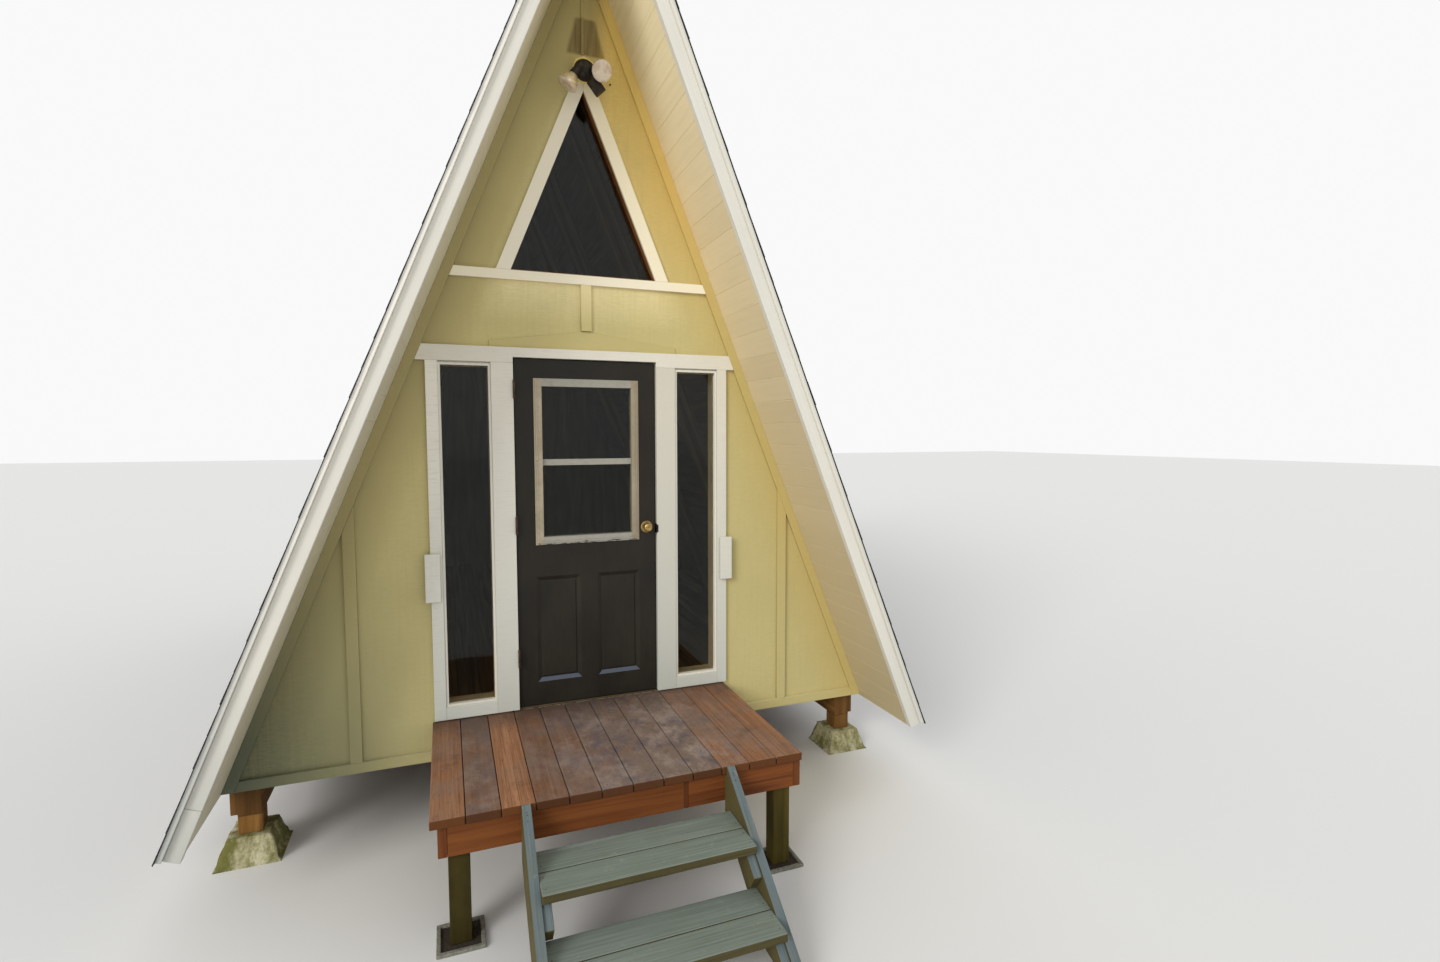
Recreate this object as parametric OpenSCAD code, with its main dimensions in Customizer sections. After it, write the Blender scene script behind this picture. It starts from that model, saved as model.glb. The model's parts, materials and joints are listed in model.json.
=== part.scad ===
// A-frame cabin on short posts and pier blocks, with a small entry deck and a two-step stair.
// The ground is z = 0, the front wall faces -Y, and the origin is the middle of the plan.

/* [Cabin body] */
// Length between the outer faces of the end walls
cabin_len = 4880; // [4200:10:6000]
// Half width between the roof planes at the bottom of the walls
base_half_w = 1862; // [1840:1:1990]
// Height of the soffit's apex above ground
ridge_z = 4971; // [4900:1:5300]
// Height of the bottom edge of the walls above ground
wall_bottom_z = 385; // [370:1:400]
// Height of the finished floor above ground
floor_z = 609; // [608:0.5:609.5]
// Thickness of the end walls
wall_t = 110; // [95:1:150]

/* [Roof] */
// Overhang of the roof beyond the end walls, to the face of the barge boards
overhang = 600; // [300:10:900]
// Height of the lower inner edge of the roof
eave_z = 375; // [330:1:380]
// Thickness of the grooved planks that form the soffit
plank_t = 38; // [25:1:60]
// Width of one soffit plank
plank_w = 140; // [90:1:200]
// Width of the V groove between planks
groove_w = 5; // [3:0.5:14]
// Depth of the V groove between planks
groove_d = 2; // [1:0.5:8]
// Thickness of insulation and sheathing over the planks
sheathing_t = 43; // [20:1:90]
// Width of the barge boards, square to the slope
barge_w = 65; // [55:1:72]
// Thickness of the barge boards
barge_t = 38; // [19:1:45]
// Depth by which the barge boards hang below the soffit
barge_lip = 7; // [0:1:15]
// Depth by which the outer trim stands in front of the barge boards
trim_proud = 18; // [5:1:30]
// Thickness of the strip on the lower ends of the planks
eave_strip_t = 7; // [4:1:9]
// Visible length of one shingle course
shingle_exposure = 140; // [100:1:220]
// Thickness of a shingle course at its lower edge
shingle_butt = 5; // [4:0.5:12]
// Thickness of a shingle course at its upper edge
shingle_head = 2; // [1.5:0.5:3.5]
// Overhang of the shingles beyond the trim and the eaves
shingle_lap = 10; // [4:1:25]
// Length of each leg of the ridge cap
cap_leg = 150; // [100:5:250]

/* [Frame and floor] */
// Number of rafter pairs between the end walls
rafter_pairs = 3; // [2:1:5]
// Width of a rafter
rafter_w = 89; // [64:1:120]
// Depth of a rafter, square to the slope
rafter_d = 140; // [90:1:190]
// Thickness of a floor joist
joist_t = 38; // [30:1:50]
// Number of floor joists
joist_count = 12; // [8:1:16]
// Thickness of the floor boards
floor_t = 16; // [12:1:22]
// Width of the side girders
girder_w = 110; // [89:1:120]
// Height of the side girders
girder_h = 184; // [140:1:200]
// Distance of the girders' outer faces inside the foot of the roof planes
girder_inset = 50; // [48:1:80]
// Setback of the girder ends behind the face of the wall
girder_setback = 50; // [20:1:150]
// Thickness of the board outside each girder
outer_board_t = 34; // [19:1:36]
// Number of piers under each girder
pier_count = 3; // [2:1:5]
// Side of the square posts on the pier blocks
pier_post = 110; // [89:1:140]
// Height of the pier blocks above ground
block_h = 130; // [100:1:150]
// Side of a pier block at its top
block_top = 210; // [180:1:250]
// Side of a pier block at the ground
block_base = 300; // [260:1:360]

/* [Front wall] */
// Thickness by which trim boards stand off the siding
board_t = 20; // [12:1:28]
// Width of the rake trims, measured level
rake_w = 58; // [40:1:80]
// Height of the bottom trim
bottom_trim_h = 55; // [40:1:90]
// Distance of the side battens from the middle, to their inner edges
batten_x = 1222; // [1150:1:1260]
// Width of the side and centre battens
batten_w = 60; // [40:1:90]
// Width of the slim batten in the top of the gable
upper_batten_w = 14; // [8:1:40]
// Gap above and below that batten
upper_batten_gap = 10; // [8:1:120]
// Half width of the low gabled panel over the entry
panel_half_w = 536; // [400:1:600]
// Height of the low gabled panel at its ends
panel_end_h = 35; // [20:1:60]
// Height of the low gabled panel at its peak
panel_peak_h = 107; // [80:1:140]
// Thickness of the low gabled panel
panel_t = 6; // [3:1:10]

/* [Gable window] */
// Height of the lower edge of the belt board
belt_z = 3032; // [2950:1:3100]
// Height of the belt board
belt_h = 53; // [40:1:70]
// Height of the glass edge above the belt board
glass_rise = 8; // [4:1:20]
// Level distance from the roof planes to the gable glass
gable_margin = 353; // [300:1:420]
// Width of the white legs, measured level
leg_w = 78; // [60:1:100]
// Thickness of the wooden window frame, measured level
frame_w = 20; // [14:1:30]

/* [Entry] */
// Half width of the clear door opening
door_half = 411.4; // [400:0.2:415]
// Height of the clear door opening's top above ground
door_head_z = 2610; // [2500:1:2620]
// Width of the white boards between the door and the sidelights
mullion_w = 118.6; // [90:0.2:130]
// Level gap between the outer casings and the rake trims at the top of the header
casing_gap = 16; // [4:1:60]
// Width of the outer casings
casing_w = 62; // [50:1:80]
// Height of the casings' lower ends
casing_bottom_z = 607; // [603:1:612]
// Lower edge of the white header
header_z = 2579; // [2560:1:2585]
// Upper edge of the white header
header_top_z = 2664; // [2650:1:2680]
// Height of the sidelight glass's lower edge
side_glass_z = 690; // [680:1:760]
// Height of the sidelight glass's upper edge
side_glass_top = 2558; // [2500:1:2560]
// Width of the sidelight frame that shows beside the glass
stop_w = 13; // [8:1:20]
// Thickness of all glass panes
glass_t = 5; // [3:0.5:8]
// Distance by which the blocks stand out past the outer casings
casing_block_past = 28; // [0:1:40]
// Lower edge of the blocks on the outer casings
block_z = 1275; // [1100:1:1400]
// Height of the blocks on the outer casings
casing_block_h = 264; // [150:1:300]
// Width of the blocks on the outer casings
casing_block_w = 78; // [60:1:100]
// Thickness of the blocks on the outer casings
casing_block_t = 25; // [15:1:35]

/* [Door] */
// Thickness of the door leaf
leaf_t = 44; // [35:1:50]
// Clearance between the door leaf and its frame
door_gap = 5; // [5:0.5:8]
// Distance of the hinge pins in front of the leaf's face
pin_out = 27; // [26:0.5:32]
// Radius of the hinge barrels
barrel_r = 6.5; // [5:0.5:7]
// Distance from the leaf's top to the middle of the upper hinge
hinge_down = 172; // [120:1:260]
// Distance from the leaf's bottom to the middle of the lower hinge
hinge_up = 291; // [150:1:330]
// Height of a hinge
hinge_h = 102; // [76:1:115]
// Thickness of the hinge plates
hinge_plate_t = 2; // [1.5:0.1:2.2]
// Distance from the sash to the edge of the door opening
stile_w = 108.4; // [95:0.2:130]
// Lower edge of the sash
sash_z = 1550; // [1500:1:1560]
// Upper edge of the sash
sash_top = 2498; // [2450:1:2510]
// Width of the sash's frame
sash_w = 45; // [35:1:55]
// Width of the sash's part that lies inside the leaf
sash_rebate = 17; // [12:1:22]
// Thickness of the sash's flange on the leaf
sash_flange = 11; // [6:1:14]
// Width of the lower band round that flange
sash_band = 9; // [4:1:14]
// Depth of that band behind the flange's face
sash_band_drop = 4; // [2:1:5]
// Lower edge of the sash's middle rail
sash_rail_z = 2005; // [1980:1:2040]
// Height of the sash's middle rail
sash_rail_h = 35; // [25:1:50]
// Distance of the leaf's panels from the middle of the leaf
panel_in = 50; // [40:1:70]
// Lower edge of the leaf's panels
panel_z = 750; // [730:1:780]
// Height of a leaf panel
panel_h = 615; // [550:1:640]
// Depth of the recess round a raised panel
panel_sink = 10; // [7:1:12]
// Width of the sloping moulding round that recess
panel_mould = 22; // [10:1:28]
// Width of the flat bottom of that recess
panel_lip = 4; // [3:1:10]
// Width of the sloping edge of a raised panel
panel_slope = 6; // [3:1:30]
// Depth of a raised panel's face below the leaf's face
panel_face = 5; // [1:0.5:6]
// Distance of the knob from the edge of the door opening
knob_inset = 61.4; // [56:0.2:80]
// Height of the knob
knob_z = 1625; // [1560:1:1700]
// Radius of the knob's rose
rose_r = 36; // [28:1:38]
// Thickness of the rose
rose_t = 7; // [4:1:10]
// Radius of the knob's neck
knob_neck_r = 11; // [8:1:14]
// Radius of the knob's ball
knob_r = 27; // [24:1:30]
// Distance of the ball's middle from the leaf
knob_out = 36; // [32:1:55]
// Depth of the knob behind and before that middle
knob_half_depth = 15; // [12:1:20]

/* [Deck] */
// Height of the deck's surface
deck_z = 600; // [560:1:603]
// Number of deck boards
deck_board_count = 12; // [8:1:12]
// Width of a deck board
deck_board_w = 140; // [120:1:140]
// Gap between deck boards
deck_gap = 3.6; // [2:0.2:6]
// Thickness of deck boards, rims and treads
timber_t = 38; // [30:1:42]
// Depth of the deck from the wall to the board ends
deck_len = 1072; // [900:1:1300]
// Distance of the deck's middle from the middle of the cabin
deck_shift = -13.5; // [-60:0.5:60]
// Height of the rim boards
rim_h = 139; // [120:1:184]
// Overhang of the deck boards over the front rim
deck_nose = 22; // [0:1:40]
// Overhang of the deck boards over the left rim
deck_side_nose = 30; // [0:1:40]
// Side of the square deck posts
deck_post = 89; // [80:1:110]
// Thickness of the end-grain strip in the front rim
rim_strip_t = 21; // [15:1:38]
// Place of the strip's middle from the middle of the cabin
rim_strip_x = 245; // [150:1:300]
// Side of the concrete collars under the deck posts
collar_w = 200; // [150:1:260]
// Height of the concrete collars
collar_h = 16; // [14:1:60]
// Depth of the recess in the collars, in which the posts stand
collar_recess = 9; // [5:1:12]
// Width of the rim round the recess
collar_rim = 18; // [10:1:40]

/* [Stair] */
// Clear width between the stringers
stair_w = 909; // [760:1:1000]
// Thickness of a stringer
stringer_t = 39; // [30:1:45]
// Depth of a stringer, square to its slope
stringer_d = 235; // [200:1:250]
// Slope of the stringers, in degrees
stair_slope = 35.5; // [34:0.1:37]
// Height of one step
rise = 190.5; // [186:0.5:192]
// Distance from one nosing to the next
going = 296; // [285:1:305]
// Distance of the first nosing from the deck's edge
first_going = 354; // [345:1:365]
// Width of one tread board
tread_board_w = 151; // [140:1:152]
// Gap between the two boards of a tread
tread_gap = 5; // [3:0.5:10]
// Drop of the cleats' upper edge below the stringers' edge
cleat_drop = 12; // [5:1:25]
// Width of a cleat, square to the slope
cleat_w = 89; // [60:1:90]
// Length of the cleats beyond the nosing
cleat_past = 55; // [30:1:90]

/* [Light] */
// Distance of the canopy's middle below the outer tip of the white legs
light_drop = 103; // [80:1:130]
// Radius of the canopy
canopy_r = 60; // [50:1:65]
// Thickness of the canopy
canopy_t = 25; // [15:1:35]
// Thickness of the painted box behind the canopy
light_box_t = 40; // [25:1:50]
// Radius of a flood bulb's lens
bulb_r = 55; // [48:1:58]
// Length of a flood bulb
bulb_len = 112; // [106:1:120]
// Width, depth and height of the motion sensor
sensor_size = [66, 50, 88]; // [48:1:90]

/* [Hidden] */

$fn = 48;
// Clearance between pieces that are set side by side
fit = 0.3;
tan_pitch = (ridge_z - wall_bottom_z) / base_half_w;
roof_pitch = atan(tan_pitch);
roof_t = plank_t + sheathing_t;
eave_s = (ridge_z - eave_z) / sin(roof_pitch);
roof_front_y = -overhang + barge_t;
roof_rear_y = cabin_len + overhang - barge_t;
shingle_front_y = -overhang - trim_proud - shingle_lap;
shingle_rear_y = cabin_len - shingle_front_y;
// The front of the plan is the foot of the stair, and its back is the shingles' edge
stair_top_z = deck_z + 1;
stair_top_y = -deck_len - 5;
stair_foot_y = stair_top_y - stair_top_z / tan(stair_slope);
// The middle is rounded to a tenth of a millimetre
plan_mid_y = round((stair_foot_y + shingle_rear_y) / 2 * 10) / 10;
// Trim that is set against the wall stands this far in front of it
trim_y = -board_t;

// Level half width inside the roof planes at a height
function roof_half(z) = base_half_w - (z - wall_bottom_z) / tan_pitch;
// Height at which the roof planes are a given half width apart
function roof_z(x) = wall_bottom_z + (base_half_w - x) * tan_pitch;
casing_half = roof_half(header_top_z) - rake_w - casing_gap;
post_outer = door_half + mullion_w;
entry_half = casing_half - casing_w;

// A point of the right slope: s down the slope from the ridge, p outward from the soffit
function slope_pt(s, p) = [s * cos(roof_pitch) + p * sin(roof_pitch),
    ridge_z - s * sin(roof_pitch) + p * cos(roof_pitch)];
// Where a layer at depth p is cut plumb, just beside the ridge line
function plumb_s(p) = (fit / 2 - p * sin(roof_pitch)) / cos(roof_pitch);
function plumb_pt(p) = slope_pt(plumb_s(p), p);

// Extrudes an XZ outline from y0 to y1
module along_y(y0, y1) {
    translate([0, y1 - plan_mid_y, 0]) rotate([90, 0, 0]) linear_extrude(y1 - y0) children();
}

// Extrudes a YZ outline from x0 to x1
module along_x(x0, x1) {
    translate([x0, -plan_mid_y, 0]) rotate([90, 0, 90]) linear_extrude(x1 - x0) children();
}

// A box between two corners of the cabin's own frame, in which y = 0 is the front wall
module block(low, high) {
    translate([low.x, low.y - plan_mid_y, low.z]) cube(high - low);
}

// Moves a shape from the cabin's own frame to the plan's middle
module placed(at) {
    translate([at.x, at.y - plan_mid_y, at.z]) children();
}

// Children on the right and mirrored on the left
module both_sides() {
    children();
    mirror([1, 0, 0]) children();
}

// Children at the front, and turned about to the rear wall
module both_ends() {
    children();
    at_rear() children();
}

// Children of the front, turned about to the rear
module at_rear() {
    translate([0, cabin_len - 2 * plan_mid_y, 0]) mirror([0, 1, 0]) children();
}

// Turns +Z to a direction
module aim(d) {
    rotate([0, acos(d.z / norm(d)), atan2(d.y, d.x)]) children();
}

// One layer of the right slope between depths p0 and p1
module slope_layer(p0, p1, s1) {
    polygon([plumb_pt(p0), slope_pt(s1, p0), slope_pt(s1, p1), plumb_pt(p1)]);
}

// Rectangular frame in the XZ plane
module ring(x0, x1, z0, z1, inset) {
    difference() {
        translate([x0, z0]) square([x1 - x0, z1 - z0]);
        translate([x0 + inset, z0 + inset]) square([x1 - x0 - 2 * inset, z1 - z0 - 2 * inset]);
    }
}

// Foundation

first_pier_y = girder_setback + pier_post / 2;
pier_pitch = (cabin_len - 2 * first_pier_y) / (pier_count - 1);
pier_y = [for (i = [0 : pier_count - 1]) first_pier_y + i * pier_pitch];
girder_out = base_half_w - girder_inset;
girder_x = girder_out - girder_w / 2;
joist_h = 184;
girder_top = floor_z - floor_t - joist_h;
girder_bottom = girder_top - girder_h;

// Block with four sloping sides, cut from two crossed wedges
module pier_block() {
    half_base = block_base / 2;
    half_top = block_top / 2;
    side = [[-half_base, 0], [half_base, 0], [half_top, block_h], [-half_top, block_h]];
    intersection() {
        rotate([90, 0, 0]) linear_extrude(block_base, center = true) polygon(side);
        rotate([90, 0, 90]) linear_extrude(block_base, center = true) polygon(side);
    }
}

module pier_blocks() {
    color("darkseagreen") both_sides() for (y = pier_y) placed([girder_x, y, 0]) pier_block();
}

module pier_posts() {
    half = pier_post / 2;
    color("saddlebrown") both_sides() for (y = pier_y)
        block([girder_x - half, y - half, block_h], [girder_x + half, y + half, girder_bottom]);
}

module girders() {
    y0 = girder_setback;
    color("peru") both_sides() {
        block([girder_out - girder_w, y0, girder_bottom], [girder_out, cabin_len - y0, girder_top]);
        block([girder_out + fit, y0 + 15, girder_bottom + 4],
            [girder_out + fit + outer_board_t, cabin_len - y0 - 15, girder_top - 6]);
    }
}

// Floor

// Outline of a floor layer whose ends follow the roof planes
module floor_outline(z0, z1) {
    polygon([[-roof_half(z0) + fit, z0], [roof_half(z0) - fit, z0],
        [roof_half(z1) - fit, z1], [-roof_half(z1) + fit, z1]]);
}

module floor_joists() {
    pitch = (cabin_len - 2 * wall_t - joist_t - 2 * fit) / (joist_count - 1);
    color("burlywood") for (i = [0 : joist_count - 1]) {
        y = wall_t + fit + i * pitch;
        along_y(y, y + joist_t) floor_outline(girder_top, floor_z - floor_t);
    }
}

module floor_boards() {
    color("tan") along_y(wall_t + fit, cabin_len - wall_t - fit)
        floor_outline(floor_z - floor_t, floor_z);
}

// Roof

// Half width inside the roof planes at a height, taken in by a depth square to the slope
function inset_half(z, depth) = roof_half(z) - depth / sin(roof_pitch);

module rafter_outline() {
    polygon([plumb_pt(-fit), [inset_half(floor_z, fit), floor_z],
        [inset_half(floor_z, rafter_d), floor_z], plumb_pt(-rafter_d)]);
}

module rafters() {
    pitch = cabin_len / (rafter_pairs + 1);
    color("burlywood") both_sides() for (i = [1 : rafter_pairs])
        along_y(i * pitch - rafter_w / 2, i * pitch + rafter_w / 2) rafter_outline();
}

// Underside of the planks with a V groove at each joint
module plank_outline() {
    joints = [for (s = [plank_w : plank_w : eave_s - groove_w]) s];
    polygon(concat([plumb_pt(0)],
        [for (s = joints, i = [-1, 0, 1]) slope_pt(s + i * groove_w / 2, i == 0 ? groove_d : 0)],
        [slope_pt(eave_s, 0), slope_pt(eave_s, plank_t), plumb_pt(plank_t)]));
}

module roof_planks() {
    color("wheat") both_sides() along_y(roof_front_y, roof_rear_y) plank_outline();
}

module roof_sheathing() {
    color("tan") both_sides() along_y(roof_front_y, roof_rear_y)
        slope_layer(plank_t, roof_t - fit, eave_s);
}

// Courses of shingles, each thicker at its lower edge, with an even strip under the ridge cap
module shingle_outline() {
    low_s = eave_s + shingle_lap;
    courses = floor((low_s - plumb_s(roof_t) - cap_leg) / shingle_exposure);
    head = roof_t + shingle_head;
    butt = roof_t + shingle_butt;
    polygon(concat([plumb_pt(roof_t), slope_pt(low_s, roof_t)],
        [for (i = [0 : courses - 1]) each [slope_pt(low_s - i * shingle_exposure, butt),
            slope_pt(low_s - (i + 1) * shingle_exposure, head)]],
        [slope_pt(low_s - courses * shingle_exposure, butt), plumb_pt(butt)]));
}

module shingles() {
    color("dimgray") both_sides() along_y(shingle_front_y, shingle_rear_y) shingle_outline();
}

module ridge_cap() {
    under = roof_t + shingle_butt + fit;
    color("dimgray") both_sides() along_y(shingle_front_y, shingle_rear_y)
        slope_layer(under, under + shingle_head, plumb_s(under) + cap_leg);
}

module barge_boards() {
    color("antiquewhite") both_ends() both_sides() along_y(-overhang, roof_front_y - fit)
        slope_layer(-barge_lip, barge_w - barge_lip, eave_s);
}

// Outline of the strip that closes the lower ends of the planks
module eave_strip() {
    s0 = eave_s + fit;
    s1 = s0 + eave_strip_t;
    p1 = roof_t - fit;
    polygon([slope_pt(s0, 0), slope_pt(s1, 0), slope_pt(s1, p1), slope_pt(s0, p1)]);
}

module barge_trim() {
    color("antiquewhite") {
        both_ends() both_sides() along_y(-overhang - trim_proud, roof_front_y - fit)
            slope_layer(barge_w - barge_lip + fit, roof_t - fit, eave_s);
        both_sides() along_y(roof_front_y, roof_rear_y) eave_strip();
    }
}

// End walls

// Heights at which the front wall is divided
jamb_t = 19;
entry_top = door_head_z + jamb_t;
wing_z = belt_z + belt_h / 2;
entry_sill_z = deck_z;
glass_z = belt_z + belt_h + glass_rise;

// Half width and top of the gable glass with a level amount added to each side
function window_half(z, extra) = roof_half(z) - gable_margin + extra;
function window_apex(extra) = roof_z(gable_margin - extra);

// Outline of an end wall inside the roof planes
module wall_triangle() {
    foot = roof_half(wall_bottom_z) - fit;
    polygon([[-foot, wall_bottom_z], [foot, wall_bottom_z], [0, roof_z(fit)]]);
}

// The part of an end wall between two heights, from x0 to the right
module wall_part(z0, z1, x0 = -base_half_w) {
    intersection() {
        wall_triangle();
        translate([x0, z0]) square([base_half_w - x0, z1 - z0]);
    }
}

module gable_wing() {
    difference() {
        wall_part(wing_z, ridge_z, fit);
        window_triangle(frame_w, wing_z - 1);
    }
}

// A low wall: its outer part laps over the girder ends, and the rest stands above them
module low_wall(z1, x0) {
    along_y(0, girder_setback - fit) wall_part(wall_bottom_z, z1, x0);
    along_y(0, wall_t) wall_part(girder_top + fit, z1, x0);
}

module front_wall_left() {
    color("darkkhaki") mirror([1, 0, 0]) low_wall(entry_top, entry_half);
}

module front_wall_right() {
    color("darkkhaki") low_wall(entry_top, entry_half);
}

module front_wall_sill() {
    half = entry_half - fit;
    color("darkkhaki") block([-half, 0, wall_bottom_z], [half, wall_t, entry_sill_z]);
}

module front_wall_posts() {
    color("darkkhaki") both_sides()
        block([door_half + jamb_t, 0, entry_sill_z], [post_outer, wall_t, entry_top]);
}

module front_wall_over_entry() {
    color("darkkhaki") along_y(0, wall_t) wall_part(entry_top, wing_z);
}

module front_gable_wings() {
    color("darkkhaki") both_sides() along_y(0, wall_t) gable_wing();
}

module rear_wall() {
    color("darkkhaki") at_rear() low_wall(wing_z, -base_half_w);
}

module rear_gable_wings() {
    color("darkkhaki") at_rear() both_sides() along_y(0, wall_t) gable_wing();
}

// Wall trim in the colour of the siding

module rake_trim() {
    foot = roof_half(wall_bottom_z);
    polygon([[foot - fit, wall_bottom_z], [foot - rake_w, wall_bottom_z],
        [fit, roof_z(rake_w + fit)], [fit, roof_z(2 * fit)]]);
}

// Upright batten from z0 up to the rake trim
module batten(x0, z0) {
    top = function(x) roof_z(x + rake_w + fit);
    polygon([[x0, z0], [x0 + batten_w, z0], [x0 + batten_w, top(x0 + batten_w)], [x0, top(x0)]]);
}

module bottom_trim(x0) {
    top_z = wall_bottom_z + bottom_trim_h;
    inner = rake_w + fit;
    polygon([[x0, wall_bottom_z], [roof_half(wall_bottom_z) - inner, wall_bottom_z],
        [roof_half(top_z) - inner, top_z], [x0, top_z]]);
}

module gabled_panel() {
    z0 = header_top_z + fit;
    polygon([[-panel_half_w, z0], [panel_half_w, z0], [panel_half_w, z0 + panel_end_h],
        [0, z0 + panel_peak_h], [-panel_half_w, z0 + panel_end_h]]);
}

module side_trims() {
    along_y(trim_y, 0) {
        rake_trim();
        batten(batten_x, wall_bottom_z + bottom_trim_h + fit);
    }
}

module upper_batten() {
    half = upper_batten_w / 2;
    block([-half, trim_y / 2, window_apex(leg_w) + upper_batten_gap],
        [half, 0, roof_z(rake_w + half) - upper_batten_gap]);
}

deck_w = deck_board_count * deck_board_w + (deck_board_count - 1) * deck_gap;
deck_left = deck_shift - deck_w / 2;
deck_right = deck_shift + deck_w / 2;

module front_wall_trim() {
    color("darkkhaki") {
        both_sides() side_trims();
        along_y(trim_y, 0) {
            bottom_trim(deck_right + 2);
            mirror([1, 0]) bottom_trim(-deck_left + 2);
            translate([-batten_w / 2, header_top_z + panel_peak_h + 2 * fit])
                square([batten_w, belt_z - header_top_z - panel_peak_h - 3 * fit]);
        }
        along_y(-panel_t, 0) gabled_panel();
        upper_batten();
    }
}

module rear_wall_trim() {
    color("darkkhaki") at_rear() {
        both_sides() side_trims();
        along_y(trim_y, 0) {
            bottom_trim(fit);
            mirror([1, 0]) bottom_trim(fit);
            translate([-batten_w / 2, wall_bottom_z + bottom_trim_h + fit])
                square([batten_w, belt_z - wall_bottom_z - bottom_trim_h - 2 * fit]);
        }
        upper_batten();
    }
}

// Gable windows, one in each end wall

module gable_leg() {
    z0 = belt_z + belt_h + fit;
    polygon([[window_half(z0, 0), z0], [window_half(z0, leg_w), z0],
        [fit, window_apex(leg_w) - fit * tan_pitch], [fit, window_apex(0) - fit * tan_pitch]]);
}

module belt_board() {
    half = function(z) roof_half(z) - rake_w - fit;
    top_z = belt_z + belt_h;
    polygon([[-half(belt_z), belt_z], [half(belt_z), belt_z],
        [half(top_z), top_z], [-half(top_z), top_z]]);
}

module gable_window_casings() {
    color("ivory") both_ends() along_y(trim_y, 0) {
        belt_board();
        both_sides() gable_leg();
    }
}

// Triangle parallel to the roof, larger than the glass by a level amount
module window_triangle(extra, z0) {
    polygon([[-window_half(z0, extra), z0], [window_half(z0, extra), z0], [0, window_apex(extra)]]);
}

gable_glass_y = 45;
pane_edge = 7;

module gable_window_frames() {
    color("sienna") both_ends() difference() {
        along_y(0, wall_t) window_triangle(frame_w - fit, wing_z + fit);
        along_y(-1, wall_t + 1) window_triangle(0, glass_z);
        along_y(gable_glass_y - fit, gable_glass_y + glass_t + fit)
            window_triangle(pane_edge + fit, glass_z - pane_edge - fit);
    }
}

module gable_window_glass() {
    color("lightblue", 0.4) both_ends() along_y(gable_glass_y, gable_glass_y + glass_t)
        window_triangle(pane_edge, glass_z - pane_edge);
}

// Entry: white boards, sidelights, door frame

module header_board() {
    half = function(z) roof_half(z) - rake_w - fit;
    difference() {
        polygon([[-half(header_z), header_z], [half(header_z), header_z],
            [half(header_top_z), header_top_z], [-half(header_top_z), header_top_z]]);
        translate([-door_half, header_z - 1]) square([2 * door_half, door_head_z - header_z + 1]);
    }
}

module entry_casing() {
    top = header_z - fit;
    color("ivory") {
        along_y(trim_y, 0) header_board();
        both_sides() {
            block([door_half, trim_y, casing_bottom_z], [post_outer, 0, top]);
            block([entry_half, trim_y, casing_bottom_z], [casing_half, 0, top]);
            block([post_outer + fit, trim_y, casing_bottom_z],
                [entry_half - fit, 0, side_glass_z - stop_w]);
        }
    }
}

module casing_blocks() {
    outer = casing_half + casing_block_past;
    color("ivory") both_sides()
        block([outer - casing_block_w, trim_y - fit - casing_block_t, block_z],
            [outer, trim_y - fit, block_z + casing_block_h]);
}

side_glass_y = 18;
side_frame_front = -12;
side_frame_back = wall_t;

// Frame of one sidelight with a groove for its pane
module sidelight_frames() {
    x0 = post_outer + fit;
    x1 = entry_half - fit;
    groove = pane_edge + fit;
    color("ivory") both_sides() difference() {
        union() {
            block([x0, 0.5, entry_sill_z], [x1, side_frame_back, entry_top]);
            block([x0, side_frame_front, side_glass_z - stop_w + fit],
                [x1, 0.5, side_glass_top + stop_w]);
        }
        block([x0 + stop_w, side_frame_front - 1, side_glass_z],
            [x1 - stop_w, side_frame_back + 1, side_glass_top]);
        block([x0 + stop_w - groove, side_glass_y - fit, side_glass_z - groove],
            [x1 - stop_w + groove, side_glass_y + glass_t + fit, side_glass_top + groove]);
    }
}

module sidelight_glass() {
    x0 = post_outer + fit + stop_w - pane_edge;
    x1 = entry_half - fit - stop_w + pane_edge;
    color("lightblue", 0.4) both_sides()
        block([x0, side_glass_y, side_glass_z - pane_edge],
            [x1, side_glass_y + glass_t, side_glass_top + pane_edge]);
}

door_stop_w = 12;
door_stop_y = leaf_t + door_gap;
door_stop_d = 22;
threshold_z = floor_z + 1;

module door_frame() {
    color("ivory") {
        both_sides() {
            block([door_half, 0, threshold_z], [door_half + jamb_t - fit, wall_t, door_head_z - fit]);
            block([door_half - door_stop_w, door_stop_y, threshold_z],
                [door_half, door_stop_y + door_stop_d, door_head_z - fit]);
        }
        block([-door_half - jamb_t + fit, 0, door_head_z],
            [door_half + jamb_t - fit, wall_t, entry_top]);
        block([-door_half + door_stop_w + fit, door_stop_y, door_head_z - door_stop_w],
            [door_half - door_stop_w - fit, door_stop_y + door_stop_d, door_head_z]);
    }
}

module threshold() {
    color("darkgoldenrod") block([-door_half - jamb_t + fit, 0, entry_sill_z],
        [door_half + jamb_t - fit, wall_t, threshold_z]);
}

// Door, hung on the left and opening outward

pin_x = -(door_half - door_gap / 2);
pin_y = -pin_out;
leaf_left = -door_half + door_gap;
// The leaf's far edge clears the jamb by the gap while its back corner swings past
swing_r = door_half - pin_x - door_gap;
leaf_right = pin_x + sqrt(pow(swing_r, 2) - pow(pin_out + leaf_t, 2));
leaf_bottom = threshold_z + door_gap + 1;
leaf_top = door_head_z - door_gap;
knob_x = door_half - knob_inset;
sash_half = door_half - stile_w;
// The leaf is cut out for the sash to a little beyond the glass
sash_core = sash_half - sash_w + sash_rebate;
sash_inset = sash_half - sash_core;
panel_w = sash_half - panel_in;
hinge_low_z = leaf_bottom + hinge_up;
hinge_high_z = leaf_top - hinge_down;
hinge_zs = [hinge_low_z, (hinge_low_z + hinge_high_z) / 2, hinge_high_z];

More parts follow.
